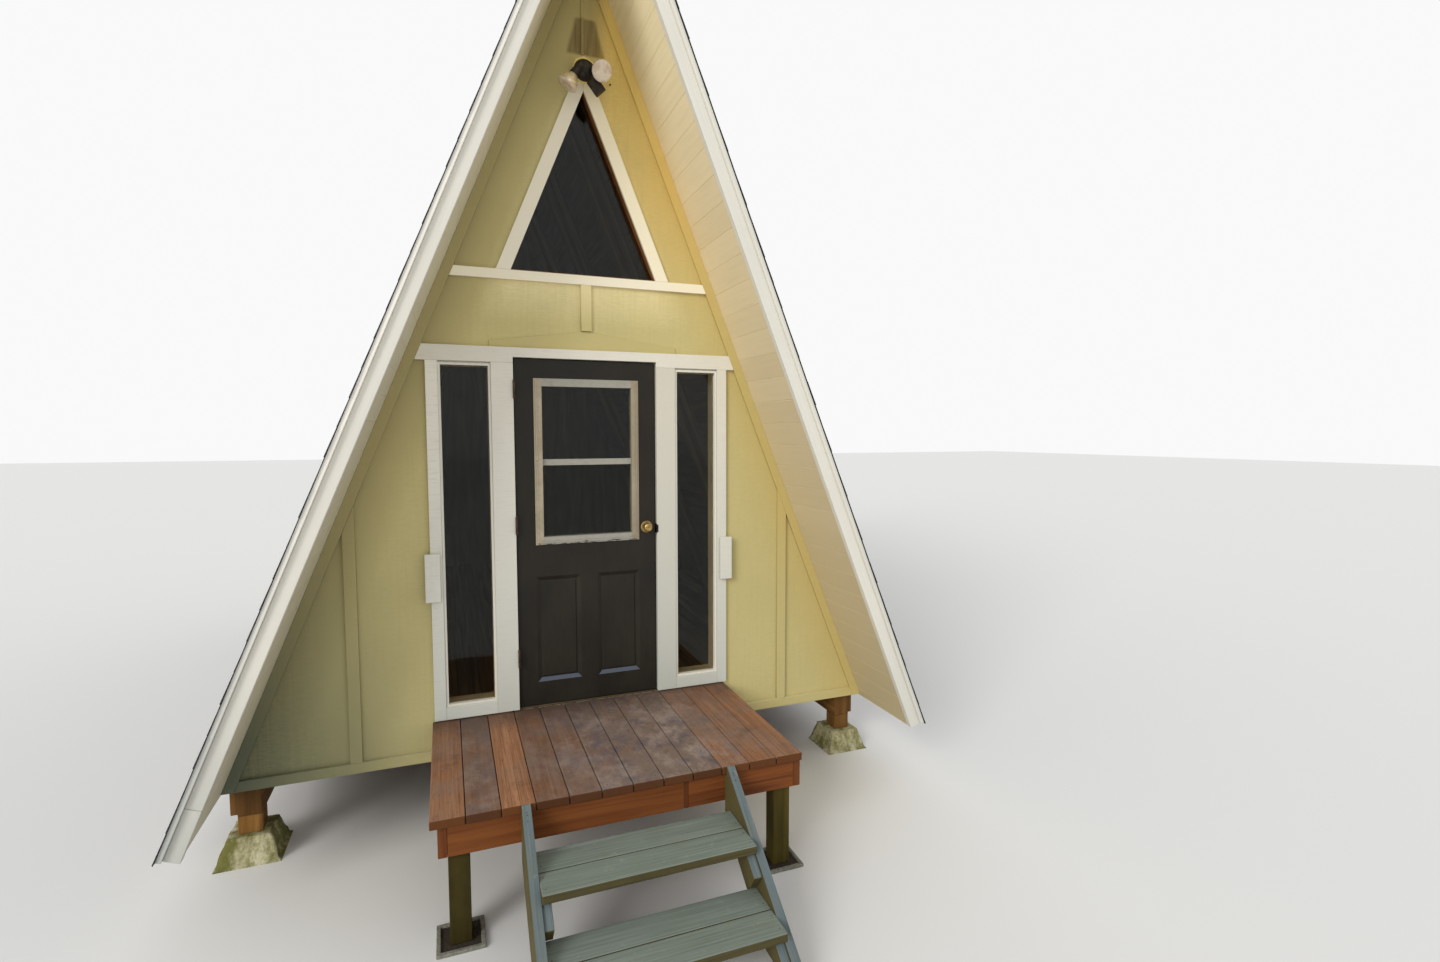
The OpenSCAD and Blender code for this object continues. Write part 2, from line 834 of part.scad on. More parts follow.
// What an outline along Z and an outline along X have in common, both as pairs of depth and place
module crossed(x, z, side, plan) {
    intersection() {
        along_x(x, x + panel_w) polygon(side);
        translate([0, -plan_mid_y, z]) linear_extrude(panel_h) polygon([for (pt = plan) [pt[1], pt[0]]]);
    }
}

// Outline of a recess with sloping sides between two edges
function sunk(a, b) = [[-1, a], [0, a], [panel_sink, a + panel_mould],
    [panel_sink, b - panel_mould], [0, b], [-1, b]];

// Outline of the raised panel inside it
function raised(a, b) = let (foot = panel_mould + panel_lip, top = foot + panel_slope)
    [[panel_sink + 1, a + foot], [panel_sink, a + foot], [panel_face, a + top],
        [panel_face, b - top], [panel_sink, b - foot], [panel_sink + 1, b - foot]];

// Recess in the leaf round a raised panel
module panel_recess(x, z) {
    right = x + panel_w;
    top = z + panel_h;
    difference() {
        crossed(x, z, sunk(z, top), sunk(x, right));
        crossed(x, z, raised(z, top), raised(x, right));
    }
}

// The same recesses on the inner face
module leaf_recesses() {
    for (x = [-panel_in - panel_w, panel_in]) {
        panel_recess(x, panel_z);
        translate([0, leaf_t - 2 * plan_mid_y, 0]) mirror([0, 1, 0]) panel_recess(x, panel_z);
    }
}

module door_leaf() {
    color([0.16, 0.15, 0.13]) difference() {
        block([leaf_left, 0, leaf_bottom], [leaf_right, leaf_t, leaf_top]);
        block([-sash_core, -1, sash_z + sash_inset], [sash_core, leaf_t + 1, sash_top - sash_inset]);
        leaf_recesses();
    }
}

sash_glass_y = (leaf_t - glass_t) / 2;
// Setback of the middle rail behind the leaf's faces
sash_rail_in = 5;

module pane(z0, z1, grow) {
    half = sash_half - sash_w + pane_edge + grow;
    block([-half, sash_glass_y - grow, z0 - pane_edge - grow],
        [half, sash_glass_y + glass_t + grow, z1 + pane_edge + grow]);
}

// Frame on both faces of the leaf, taken in from the sash's outer edge
module sash_flange(inset, thick) {
    for (y = [-thick, leaf_t])
        along_y(y, y + thick)
            ring(inset - sash_half, sash_half - inset, sash_z + inset, sash_top - inset, sash_w - inset);
}

module door_sash() {
    rail_top = sash_rail_z + sash_rail_h;
    opening = sash_half - sash_w + 1;
    color([0.72, 0.68, 0.6]) difference() {
        union() {
            sash_flange(sash_band, sash_flange);
            sash_flange(0, sash_flange - sash_band_drop);
            along_y(-fit, leaf_t + fit)
                ring(-sash_core + fit, sash_core - fit, sash_z + sash_inset + fit,
                    sash_top - sash_inset - fit, sash_w - sash_inset - fit);
            block([-opening, sash_rail_in, sash_rail_z], [opening, leaf_t - sash_rail_in, rail_top]);
        }
        pane(sash_z + sash_w, sash_rail_z, fit);
        pane(rail_top, sash_top - sash_w, fit);
    }
}

module door_glass() {
    color("lightblue", 0.4) {
        pane(sash_z + sash_w, sash_rail_z, 0);
        pane(sash_rail_z + sash_rail_h, sash_top - sash_w, 0);
    }
}

// Rose, neck and flattened ball turned about one axis
module knob() {
    rotate_extrude() {
        square([rose_r, rose_t / 2]);
        square([rose_r - 4, rose_t]);
        square([knob_neck_r, knob_out]);
        intersection() {
            translate([0, knob_out]) circle(r = knob_r);
            translate([0, knob_out - knob_half_depth]) square([knob_r, 2 * knob_half_depth]);
        }
    }
}

module door_knobs() {
    color("goldenrod") {
        placed([knob_x, 0, knob_z]) rotate([90, 0, 0]) knob();
        placed([knob_x, leaf_t, knob_z]) rotate([-90, 0, 0]) knob();
    }
}

knuckle = hinge_h / 5;

// Some of the five knuckles of the hinge whose middle is at z, counted from the bottom
module knuckles(z, which) {
    for (i = which)
        placed([pin_x, pin_y, z - hinge_h / 2 + i * knuckle + fit])
            cylinder(r = barrel_r, h = knuckle - 2 * fit);
}

plate_len = pin_out + leaf_t - 18;

// One plate from the pin back along a side of the gap
module hinge_plate(x0, z0) {
    block([x0, pin_y, z0], [x0 + hinge_plate_t, pin_y + plate_len, z0 + hinge_h]);
}

module hinge_frame_plates() {
    color("saddlebrown") for (z = hinge_zs) difference() {
        union() {
            knuckles(z, [0, 2, 4]);
            hinge_plate(-door_half + fit, z - hinge_h / 2);
        }
        knuckles_relief(z, [1, 3]);
    }
}

module hinge_leaf_plates() {
    color("saddlebrown") for (z = hinge_zs) difference() {
        union() {
            knuckles(z, [1, 3]);
            hinge_plate(leaf_left - fit - hinge_plate_t, z - hinge_h / 2);
        }
        knuckles_relief(z, [0, 2, 4]);
    }
}

// Room round the other plate's knuckles
module knuckles_relief(z, which) {
    for (i = which)
        placed([pin_x, pin_y, z - hinge_h / 2 + i * knuckle - fit])
            cylinder(r = barrel_r + 1, h = knuckle + 2 * fit);
}

// Deck

frame_left = deck_left + deck_side_nose;
frame_right = deck_right;
rim_top = deck_z - timber_t;
rim_bottom = rim_top - rim_h;
rim_front = -deck_len + deck_nose;

module deck_boards() {
    color("sienna") for (i = [0 : deck_board_count - 1]) {
        x = deck_left + i * (deck_board_w + deck_gap);
        block([x, -deck_len, rim_top], [x + deck_board_w, -fit, deck_z]);
    }
}

module deck_frame() {
    in_left = frame_left + timber_t + fit;
    in_right = frame_right - timber_t - fit;
    strip_left = rim_strip_x - rim_strip_t / 2;
    strip_right = rim_strip_x + rim_strip_t / 2;
    mid_y = rim_front / 2;
    rim = function(x0, y0, x1, y1) [[x0, y0, rim_bottom], [x1, y1, rim_top]];
    pieces = [
        rim(frame_left, rim_front, frame_left + timber_t, -fit),
        rim(frame_right - timber_t, rim_front, frame_right, -fit),
        rim(in_left, rim_front, strip_left - fit, rim_front + timber_t),
        rim(strip_right + fit, rim_front, in_right, rim_front + timber_t),
        rim(strip_left, rim_front, strip_right, mid_y - fit),
        rim(in_left, mid_y, in_right, mid_y + timber_t),
        rim(in_left, -timber_t - fit, in_right, -fit)];
    color("saddlebrown") for (piece = pieces) block(piece[0], piece[1]);
}

deck_post_y = rim_front + timber_t + fit;
deck_post_xs = [frame_left + timber_t + fit, frame_right - timber_t - fit - deck_post];

module deck_posts() {
    color("darkolivegreen") for (x = deck_post_xs)
        block([x, deck_post_y, collar_h - collar_recess],
            [x + deck_post, deck_post_y + deck_post, rim_top]);
}

module deck_collars() {
    hollow_w = collar_w - 2 * collar_rim;
    y = deck_post_y + deck_post / 2;
    color("darkgray") for (left = deck_post_xs) placed([left + deck_post / 2, y, 0]) difference() {
        translate([0, 0, collar_h / 2]) cube([collar_w, collar_w, collar_h], center = true);
        translate([0, 0, collar_h]) cube([hollow_w, hollow_w, 2 * collar_recess], center = true);
    }
}

// Stair

stair_left = deck_shift - stair_w / 2;
stair_right = deck_shift + stair_w / 2;

// Height of the stringers' upper edge at y
function stringer_z(y) = stair_top_z - (stair_top_y - y) * tan(stair_slope);
function stringer_y(z) = stair_top_y - (stair_top_z - z) / tan(stair_slope);

module stair_stringers() {
    drop = stringer_d / cos(stair_slope);
    back_y = rim_front - fit;
    under_y = -deck_len - fit;
    color("darkseagreen") for (x = [stair_left - stringer_t, stair_right])
        along_x(x, x + stringer_t)
            polygon([[under_y, stair_top_z], [stair_top_y, stair_top_z], [stair_foot_y, 0],
                [stringer_y(drop), 0], [back_y, stringer_z(back_y) - drop],
                [back_y, rim_top - fit], [under_y, rim_top - fit]]);
}

function nosing_y(i) = -deck_len - first_going - (i - 1) * going;
function tread_z(i) = deck_z - i * rise;

module stair_treads() {
    color("darkseagreen") for (i = [1, 2], j = [0, 1]) {
        y = nosing_y(i) + j * (tread_board_w + tread_gap);
        block([stair_left + fit, y, tread_z(i) - timber_t],
            [stair_right - fit, y + tread_board_w, tread_z(i)]);
    }
}

// Cleat with its upper edge just under the stringer's, cut level under the tread
module cleat_outline(i) {
    z0 = tread_z(i) - timber_t - fit;
    end_y = nosing_y(i) - cleat_past;
    end_z = stringer_z(end_y) - cleat_drop;
    polygon([[stringer_y(z0 + cleat_drop + cleat_w / cos(stair_slope)), z0],
        [stringer_y(z0 + cleat_drop), z0], [end_y, end_z],
        [end_y + cleat_w * sin(stair_slope), end_z - cleat_w * cos(stair_slope)]]);
}

module stair_cleats() {
    color("darkseagreen") for (i = [1, 2], x = [stair_left + fit, stair_right - fit - timber_t])
        intersection() {
            along_x(x, x + timber_t) cleat_outline(i);
            block([x - 1, stair_foot_y, 0], [x + timber_t + 1, 0, deck_z]);
        }
}

// Flood light over the gable window

light_z = window_apex(leg_w) - light_drop;
box_front = trim_y - fit - light_box_t;
canopy_front = box_front - canopy_t;

module light_box() {
    color("darkkhaki") placed([0, trim_y - fit, light_z + 12]) rotate([90, 0, 0])
        cylinder(r = canopy_r + 6, h = light_box_t, $fn = 8);
}

module light_canopy() {
    color([0.2, 0.17, 0.13]) placed([0, box_front - fit, light_z]) rotate([90, 0, 0]) rotate_extrude() {
        square([canopy_r, canopy_t / 2]);
        square([canopy_r - 8, canopy_t]);
    }
}

// Place of each lens and of the sensor, measured from the middle of the canopy's front, and their aims
lens_places = [[64, -145, -69], [-119, -60, -141]];
lens_aims = [[0.14, -0.87, -0.47], [-0.41, 0.1, -0.91]];
sensor_place = [42, -42, -116];
sensor_aim = [-0.58, 0.14, 0.8];
sensor_spin = 166;
sensor_root = [10, -4, -32];
sensor_arm_r = 8;
light_middle = [0, canopy_front, light_z];

module flood_bulb() {
    rotate_extrude() polygon([[0, 0], [bulb_r * 0.9, -3], [bulb_r, -8], [bulb_r, -14],
        [bulb_r * 0.62, -bulb_len * 0.55], [18, -bulb_len + 30], [16, -bulb_len], [0, -bulb_len]]);
}

module flood_bulbs() {
    color("whitesmoke") for (i = [0, 1])
        placed(light_middle + lens_places[i]) aim(lens_aims[i]) flood_bulb();
}

// Bell holder behind a bulb, with a stub arm to the canopy
holder_back = 32;
holder_len = 66;
holder_wall = 3;
arm_r = 9;

module lamp_holder(lens, d) {
    rear = lens - d * (bulb_len + holder_back);
    root = [rear.x * 0.5, canopy_front - fit, light_z + (rear.z - light_z) * 0.5];
    placed(rear) aim(d) difference() {
        cylinder(r1 = 22, r2 = 27, h = holder_len);
        translate([0, 0, holder_back - fit])
            cylinder(r1 = 18 + fit, r2 = 27 - holder_wall, h = holder_len);
    }
    placed(root) aim(rear - root) cylinder(r = arm_r, h = norm(rear - root));
}

// Room of the canopy, where what is fastened to it ends at its front
module canopy_room() {
    block([-canopy_r, canopy_front - fit, light_z - canopy_r], [canopy_r, 0, light_z + canopy_r]);
}

module lamp_holders() {
    color([0.2, 0.17, 0.13]) difference() {
        for (i = [0, 1])
            lamp_holder(light_middle + lens_places[i], lens_aims[i] / norm(lens_aims[i]));
        canopy_room();
    }
}

module motion_sensor() {
    reach = sensor_place - sensor_root;
    color([0.2, 0.17, 0.13]) {
        placed(light_middle + sensor_place) aim(sensor_aim) rotate([0, 0, sensor_spin])
            translate(-sensor_size / 2) cube(sensor_size);
        difference() {
            placed(light_middle + sensor_root) aim(reach) cylinder(r = sensor_arm_r, h = norm(reach));
            canopy_room();
        }
    }
}

pier_blocks();
pier_posts();
girders();
floor_joists();
floor_boards();
rafters();
roof_planks();
roof_sheathing();
shingles();
ridge_cap();
barge_boards();
barge_trim();
front_wall_left();
front_wall_right();
front_wall_sill();
front_wall_posts();
front_wall_over_entry();
front_gable_wings();
front_wall_trim();
rear_wall();
rear_gable_wings();
rear_wall_trim();
gable_window_casings();
gable_window_frames();
gable_window_glass();
entry_casing();
casing_blocks();
sidelight_frames();
sidelight_glass();
door_frame();
threshold();
hinge_frame_plates();
door_leaf();
door_sash();
door_glass();
door_knobs();
hinge_leaf_plates();
deck_boards();
deck_frame();
deck_posts();
deck_collars();
stair_stringers();
stair_treads();
stair_cleats();
light_box();
light_canopy();
lamp_holders();
flood_bulbs();
motion_sensor();
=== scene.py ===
# %% [markdown]
# # A-frame cabin
# A small cabin whose two steep roof planes run down almost to the ground. It stands on short posts
# and pier blocks, and a redwood deck with a two-step stair leads to its dark door. The frame that is
# loaded here holds every timber at its true size. This lesson gives each piece its finish and adds
# what is too fine for the frame: eased edges, single shingles, screws, mouldings and lamp glass.

# %% Load the frame
import math
import random
import json

import bmesh
import bpy
from mathutils import Matrix, Vector, noise


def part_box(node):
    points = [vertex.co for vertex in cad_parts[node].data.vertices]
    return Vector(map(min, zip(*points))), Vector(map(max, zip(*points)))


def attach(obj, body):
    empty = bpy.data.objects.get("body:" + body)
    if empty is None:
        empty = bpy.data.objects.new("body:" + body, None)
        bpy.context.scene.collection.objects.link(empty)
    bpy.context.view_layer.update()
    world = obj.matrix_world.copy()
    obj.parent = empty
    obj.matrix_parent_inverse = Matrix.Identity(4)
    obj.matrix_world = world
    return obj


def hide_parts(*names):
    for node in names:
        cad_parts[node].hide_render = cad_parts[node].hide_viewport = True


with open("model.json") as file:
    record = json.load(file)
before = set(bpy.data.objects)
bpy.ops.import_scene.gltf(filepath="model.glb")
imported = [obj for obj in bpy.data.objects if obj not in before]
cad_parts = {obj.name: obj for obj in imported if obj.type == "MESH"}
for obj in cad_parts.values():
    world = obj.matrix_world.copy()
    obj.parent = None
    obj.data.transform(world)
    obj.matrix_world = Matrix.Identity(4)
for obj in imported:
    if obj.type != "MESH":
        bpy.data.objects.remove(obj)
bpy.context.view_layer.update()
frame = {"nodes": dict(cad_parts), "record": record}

# %% [markdown]
# The record says which body each node belongs to and which finish it has. A piece that stands for a
# node takes both from there, so that no list of names has to be kept by hand.

# %% Look up bodies and finishes
record = frame["record"]
SLOT_OF = {part["node"]: part["material_slot"] for part in record["subparts"]}
BODY_OF = {node: body for body, nodes in record["behaviour"]["bodies"].items() for node in nodes}

# %% [markdown]
# ## The roof's geometry
# Everything on the roof is placed by two measures: how far down the slope a point lies from the
# ridge, and how far out from the soffit. One function turns the pair into a place on the right
# slope, and the left slope is its mirror image.

# %% Slope coordinates
SOFFIT_APEX_Z = 4.971
WALL_FOOT_Z = 0.385
WALL_FOOT_X = 1.862
PITCH = math.atan2(SOFFIT_APEX_Z - WALL_FOOT_Z, WALL_FOOT_X)
ROOF_T = 0.081
PLANK_W = 0.140


def on_slope(down, out, y, side=1):
    """Place of a point on a slope: side 1 is the right slope, and side -1 the left one."""
    x = down * math.cos(PITCH) + out * math.sin(PITCH)
    z = SOFFIT_APEX_Z - down * math.sin(PITCH) + out * math.cos(PITCH)
    return Vector((side * x, y, z))


print("Pitch", round(math.degrees(PITCH), 2), "degrees")

# %% [markdown]
# ## Helpers for materials
# A finish is a Principled shader with a few texture nodes in front of it. Written out in full, the
# same dozen lines come back for each material. This class keeps one method for each step: take the
# coordinates, stretch them, read noise there, turn the noise into colours or into relief. The step that
# comes back most is a dab: another colour over the coat, in the places where a noise is high.

# %% Finish helper
def paint(red, green, blue):
    """Linear colour of a paint that is given as it looks on a screen."""
    def linear(value):
        value = value / 255
        return value / 12.92 if value <= 0.04045 else ((value + 0.055) / 1.055) ** 2.4

    return (linear(red), linear(green), linear(blue), 1.0)


class Finish:
    """A material that is built up step by step."""

    def __init__(self, name, roughness=0.7, **sockets):
        self.material = bpy.data.materials.new(name)
        self.material.use_nodes = True
        self.tree = self.material.node_tree
        self.shader = self.tree.nodes["Principled BSDF"]
        self.shader.inputs["Roughness"].default_value = roughness
        for socket, value in sockets.items():
            self.shader.inputs[socket.replace("_", " ")].default_value = value
        self.normal = None

    def add(self, kind, inputs, **settings):
        """A node whose inputs are links or plain values."""
        node = self.tree.nodes.new(kind)
        for key, value in settings.items():
            setattr(node, key, value)
        for key, value in inputs.items():
            if isinstance(value, bpy.types.NodeSocket):
                self.tree.links.new(value, node.inputs[key])
            else:
                node.inputs[key].default_value = value
        return node

    def place(self, stretch=(1, 1, 1), turn=(0, 0, 0), shift=(0, 0, 0)):
        """Object coordinates, turned and stretched."""
        source = self.add("ShaderNodeTexCoord", {}).outputs["Object"]
        inputs = {"Vector": source, "Scale": stretch, "Rotation": turn, "Location": shift}
        return self.add("ShaderNodeMapping", inputs).outputs["Vector"]

    def axes(self):
        """X, Y and Z of a point, in metres."""
        return self.add("ShaderNodeSeparateXYZ", {"Vector": self.place()}).outputs

    def along_grain(self, stretch=(1, 1, 1)):
        """Coordinates that run along each board, in metres, and then stretched."""
        source = self.add("ShaderNodeUVMap", {}, uv_map="grain").outputs["UV"]
        inputs = {"Vector": source, "Scale": stretch}
        return self.add("ShaderNodeMapping", inputs).outputs["Vector"]

    def attribute(self, name):
        return self.add("ShaderNodeAttribute", {}, attribute_name=name).outputs["Fac"]

    def noise(self, vector, scale=1.0, detail=3.0, rough=0.55, swirl=0.0):
        inputs = {"Vector": vector, "Scale": scale, "Detail": detail, "Roughness": rough,
                  "Distortion": swirl}
        return self.add("ShaderNodeTexNoise", inputs).outputs["Fac"]

    def level(self, value, low, high, to_low=0.0, to_high=1.0):
        """Spreads the part of a value between low and high over a new range."""
        inputs = {"Value": value, "From Min": low, "From Max": high, "To Min": to_low,
                  "To Max": to_high}
        return self.add("ShaderNodeMapRange", inputs).outputs["Result"]

    def times(self, first, second, operation="MULTIPLY"):
        return self.add("ShaderNodeMath", {0: first, 1: second}, operation=operation).outputs[0]

    def ramp(self, value, *stops):
        """Colours along a value, each stop a place and a colour."""
        node = self.add("ShaderNodeValToRGB", {"Fac": value})
        elements = node.color_ramp.elements
        while len(elements) < len(stops):
            elements.new(1.0)
        for element, (position, colour) in zip(elements, stops):
            element.position = position
            element.color = colour
        return node.outputs["Color"]

    def mix(self, amount, first, second, blend="MIX"):
        inputs = {0: amount, 6: first, 7: second}
        return self.add("ShaderNodeMix", inputs, data_type="RGBA", blend_type=blend).outputs[2]

    def dab(self, coat, colour, where, low, high, share):
        """Lays a colour over a coat, up to a share, as a value runs from low to high."""
        return self.mix(self.level(where, low, high, 0, share), coat, colour)

    def toned(self, coat, tone):
        """A coat made darker or lighter by one number."""
        grey = self.add("ShaderNodeCombineColor", {0: tone, 1: tone, 2: tone}).outputs[0]
        return self.mix(1.0, coat, grey, "MULTIPLY")

    def colour(self, value):
        if isinstance(value, bpy.types.NodeSocket):
            self.tree.links.new(value, self.shader.inputs["Base Color"])
        else:
            self.shader.inputs["Base Color"].default_value = value

    def rough(self, value):
        self.tree.links.new(value, self.shader.inputs["Roughness"])

    def relief(self, height, depth, strength=1.0):
        """Bump of a depth in metres, on top of the relief before it."""
        inputs = {"Height": height, "Distance": depth, "Strength": strength}
        if self.normal is not None:
            inputs["Normal"] = self.normal
        self.normal = self.add("ShaderNodeBump", inputs).outputs["Normal"]
        self.tree.links.new(self.normal, self.shader.inputs["Normal"])


# %% [markdown]
# ## Helpers for boards
# A timber in the frame has knife-sharp edges, and no real one has. Each board is copied from its
# node, its loose triangles are merged into whole faces, and its edges are rounded by a small bevel
# that catches the light. Grain has to run along each board whatever way it lies, so every board also
# gets its own coordinates from its longest edge, or upright ones where a post is shorter than it is
# wide, and a tone of its own, because no two boards of a deck have one colour.

# %% Copy a node and round its edges
FLAT = math.radians(1)
SHARP = math.radians(25)
SAME_PLACE = 1e-5


def merged(node):
    """A copy of a node's mesh with whole faces instead of loose triangles."""
    bm = bmesh.new()
    bm.from_mesh(frame["nodes"][node].data)
    bmesh.ops.remove_doubles(bm, verts=bm.verts, dist=SAME_PLACE)
    bmesh.ops.dissolve_limit(bm, angle_limit=FLAT, verts=bm.verts, edges=bm.edges)
    return bm


def round_edges(bm, width, segments=2):
    edges = [e for e in bm.edges if e.is_manifold and e.calc_face_angle() > SHARP]
    bmesh.ops.bevel(bm, geom=edges, affect="EDGES", offset=width, offset_type="OFFSET",
                    segments=segments, profile=0.5, material=-1, clamp_overlap=True)


# %% Give each board its grain
def islands(bm):
    """Groups of faces that hang together, from left to right."""
    for face in bm.faces:
        face.tag = False
    groups = []
    for start in bm.faces:
        if start.tag:
            continue
        start.tag = True
        group = [start]
        for face in group:
            near = [f for edge in face.edges for f in edge.link_faces if not f.tag]
            for other in near:
                if not other.tag:
                    other.tag = True
                    group.append(other)
        groups.append(group)

    def middle(group):
        total = sum((f.calc_center_median() for f in group), Vector()) / len(group)
        return [round(c, 2) for c in total]

    return sorted(groups, key=middle)


END_SLANT = 0.35
END_SQUARE = 0.8
STEEP = 0.7


def lay_grain(bm, seed, tones=None, marks=None, upright=False):
    """Coordinates along each board, its tone from 0 to 1, its ends, and marks worked out by rules."""
    chance = random.Random(seed)
    uv = bm.loops.layers.uv.new("grain")
    tone = bm.faces.layers.float.new("tone")
    ends = bm.faces.layers.float.new("ends")
    rules = [(bm.faces.layers.float.new(name), rule) for name, rule in (marks or {}).items()]
    groups = islands(bm)
    for number, group in enumerate(groups):
        edges = [edge for face in group for edge in face.edges]
        longest = max(edges, key=lambda edge: round(edge.calc_length(), 4))
        axis = (longest.verts[1].co - longest.verts[0].co).normalized()
        if axis[max(range(3), key=lambda k: abs(axis[k]))] < 0:
            axis.negate()
        if upright:
            axis = Vector((0, 0, 1))
        across_end = Vector((1, 0, 0)) if abs(axis.z) > STEEP else Vector((0, 0, 1))
        board_tone = tones[number % len(tones)] if tones else chance.random()
        start = Vector((chance.uniform(0, 40), chance.uniform(0, 40)))
        for face in group:
            along = axis
            face[ends] = 1.0 if abs(face.normal.dot(axis)) > END_SLANT else 0.0
            if abs(face.normal.dot(axis)) > END_SQUARE:
                along = across_end
            across = face.normal.cross(along).normalized()
            face[tone] = board_tone
            for layer, rule in rules:
                face[layer] = float(rule(face, number))
            for loop in face.loops:
                point = loop.vert.co
                loop[uv].uv = start + Vector((point.dot(along), point.dot(across)))
    return len(groups)


# %% Make a finished piece of a mesh
SMOOTH_TO = math.radians(35)


def piece_of(bm, name, finish, body="cabin", node=None, smooth=False):
    """A piece that rides on a body, and stands for a node where one is named."""
    mesh = bpy.data.meshes.new(name)
    bm.to_mesh(mesh)
    bm.free()
    mesh.materials.append(finish.material)
    if smooth:
        mesh.shade_smooth()
        mesh.set_sharp_from_angle(angle=SMOOTH_TO)
    piece = bpy.data.objects.new(name, mesh)
    bpy.context.scene.collection.objects.link(piece)
    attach(piece, BODY_OF[node] if node else body)
    if node:
        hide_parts(node)
    return piece


def eased(node, name, finish, width, segments=2, seed=1, tones=None, marks=None, bm=None,
          upright=False):
    """A node's boards, or a mesh made from them, with rounded edges and their own grain."""
    bm = bm or merged(node)
    round_edges(bm, width, segments)
    boards = lay_grain(bm, seed, tones, marks, upright)
    print(name, "has", boards, "boards and", len(bm.faces), "faces")
    return piece_of(bm, name, finish, node=node)


def finish_node(node, finish):
    """Gives a node that keeps its own shape a better material."""
    mesh = frame["nodes"][node].data
    mesh.materials.clear()
    mesh.materials.append(finish.material)


# %% [markdown]
# Some finishes need to know which way a face looks: the sides of trim boards are darkened as painted
# shade, their upper edges are lightened as a painted highlight, and only the tops of the treads are
# bleached. A rule for each mark is handed to the function above, which stores its answer in the faces,
# where a material can read it.

# %% Rules for marks
def is_edge(face, number):
    """The sides of a board on a wall, which get painted shade, but not its upper edge, which gets a
    painted highlight.
    """
    return abs(face.normal.y) < 0.5 and face.normal.z < 0.3


def is_top(face, number):
    return face.normal.z > 0.6


# %% [markdown]
# ## Painted siding
# The end walls are rough-sawn plywood under khaki paint. The saw leaves short level lines a centimetre
# apart, and the wood's own grain crosses them upright, so that the paint looks woven. Two noises, one
# squeezed in height and one stretched, give that for the relief and the tone. Light and shade are
# painted into the colour too: painted shade turns the paint grey-green towards the foot of the left
# side, dark in its lower corner and a little darker low on the right, painted light lightens the upper
# gable away from the slopes and turns it golden under the ridge on the right, and close under the
# slopes painted shade keeps it dusky. Over the light, the paint of the gable is stained brown in the
# shape of a trapezoid, and what shows of the wall under the door is dark with dirt and painted shade.
# Apart from the stain on the gable's panels, all of this is placed by width and height alone, so the
# rear wall has it too, with the dark patch at its foot. Indoors the plywood is bare, so the finish
# changes where a wall's depth passes its inner face.

# %% Siding
WALL_GAP = 0.003
INNER_FRONT_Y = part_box("floor_boards")[0].y - WALL_GAP
INNER_REAR_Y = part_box("floor_boards")[1].y + WALL_GAP
STAIN_MIDDLE = (0.019, 4.401)
STAIN_HALF_W = 0.090
STAIN_SPREAD = 0.264
STAIN_HALF_H = 0.106
STAIN_SOFT = 0.015
SWEPT_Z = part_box("deck_boards")[1].z + 0.05
DOOR_HALF_W = 0.45


def indoors(finish):
    """One between the inner faces of the end walls, and nought outside them."""
    depth = finish.axes()["Y"]
    after_front = finish.times(depth, INNER_FRONT_Y, "GREATER_THAN")
    return finish.times(after_front, finish.times(depth, INNER_REAR_Y, "LESS_THAN"))


def stain(finish):
    """A soft-edged trapezoid, wider towards its foot."""
    at = finish.axes()
    across = finish.times(finish.times(at["X"], STAIN_MIDDLE[0], "SUBTRACT"), 0, "ABSOLUTE")
    below = finish.times(STAIN_MIDDLE[1], at["Z"], "SUBTRACT")
    half = finish.times(finish.times(below, STAIN_SPREAD), STAIN_HALF_W, "ADD")
    inside = finish.level(finish.times(half, across, "SUBTRACT"), 0, 0.02)
    tall = finish.level(finish.times(below, 0, "ABSOLUTE"), STAIN_HALF_H, STAIN_HALF_H - STAIN_SOFT)
    runs = finish.noise(finish.place((60, 1, 5)), 1.0, 4)
    return finish.times(finish.times(inside, tall), finish.level(runs, 0.3, 0.7, 0.5, 0.8))


def from_roof(finish):
    """How far below the soffit a point lies, measured square to the slope."""
    at = finish.axes()
    below = finish.times(finish.times(SOFFIT_APEX_Z, at["Z"], "SUBTRACT"), math.cos(PITCH))
    beside = finish.times(finish.times(at["X"], 0, "ABSOLUTE"), math.sin(PITCH))
    return finish.times(below, beside, "SUBTRACT")


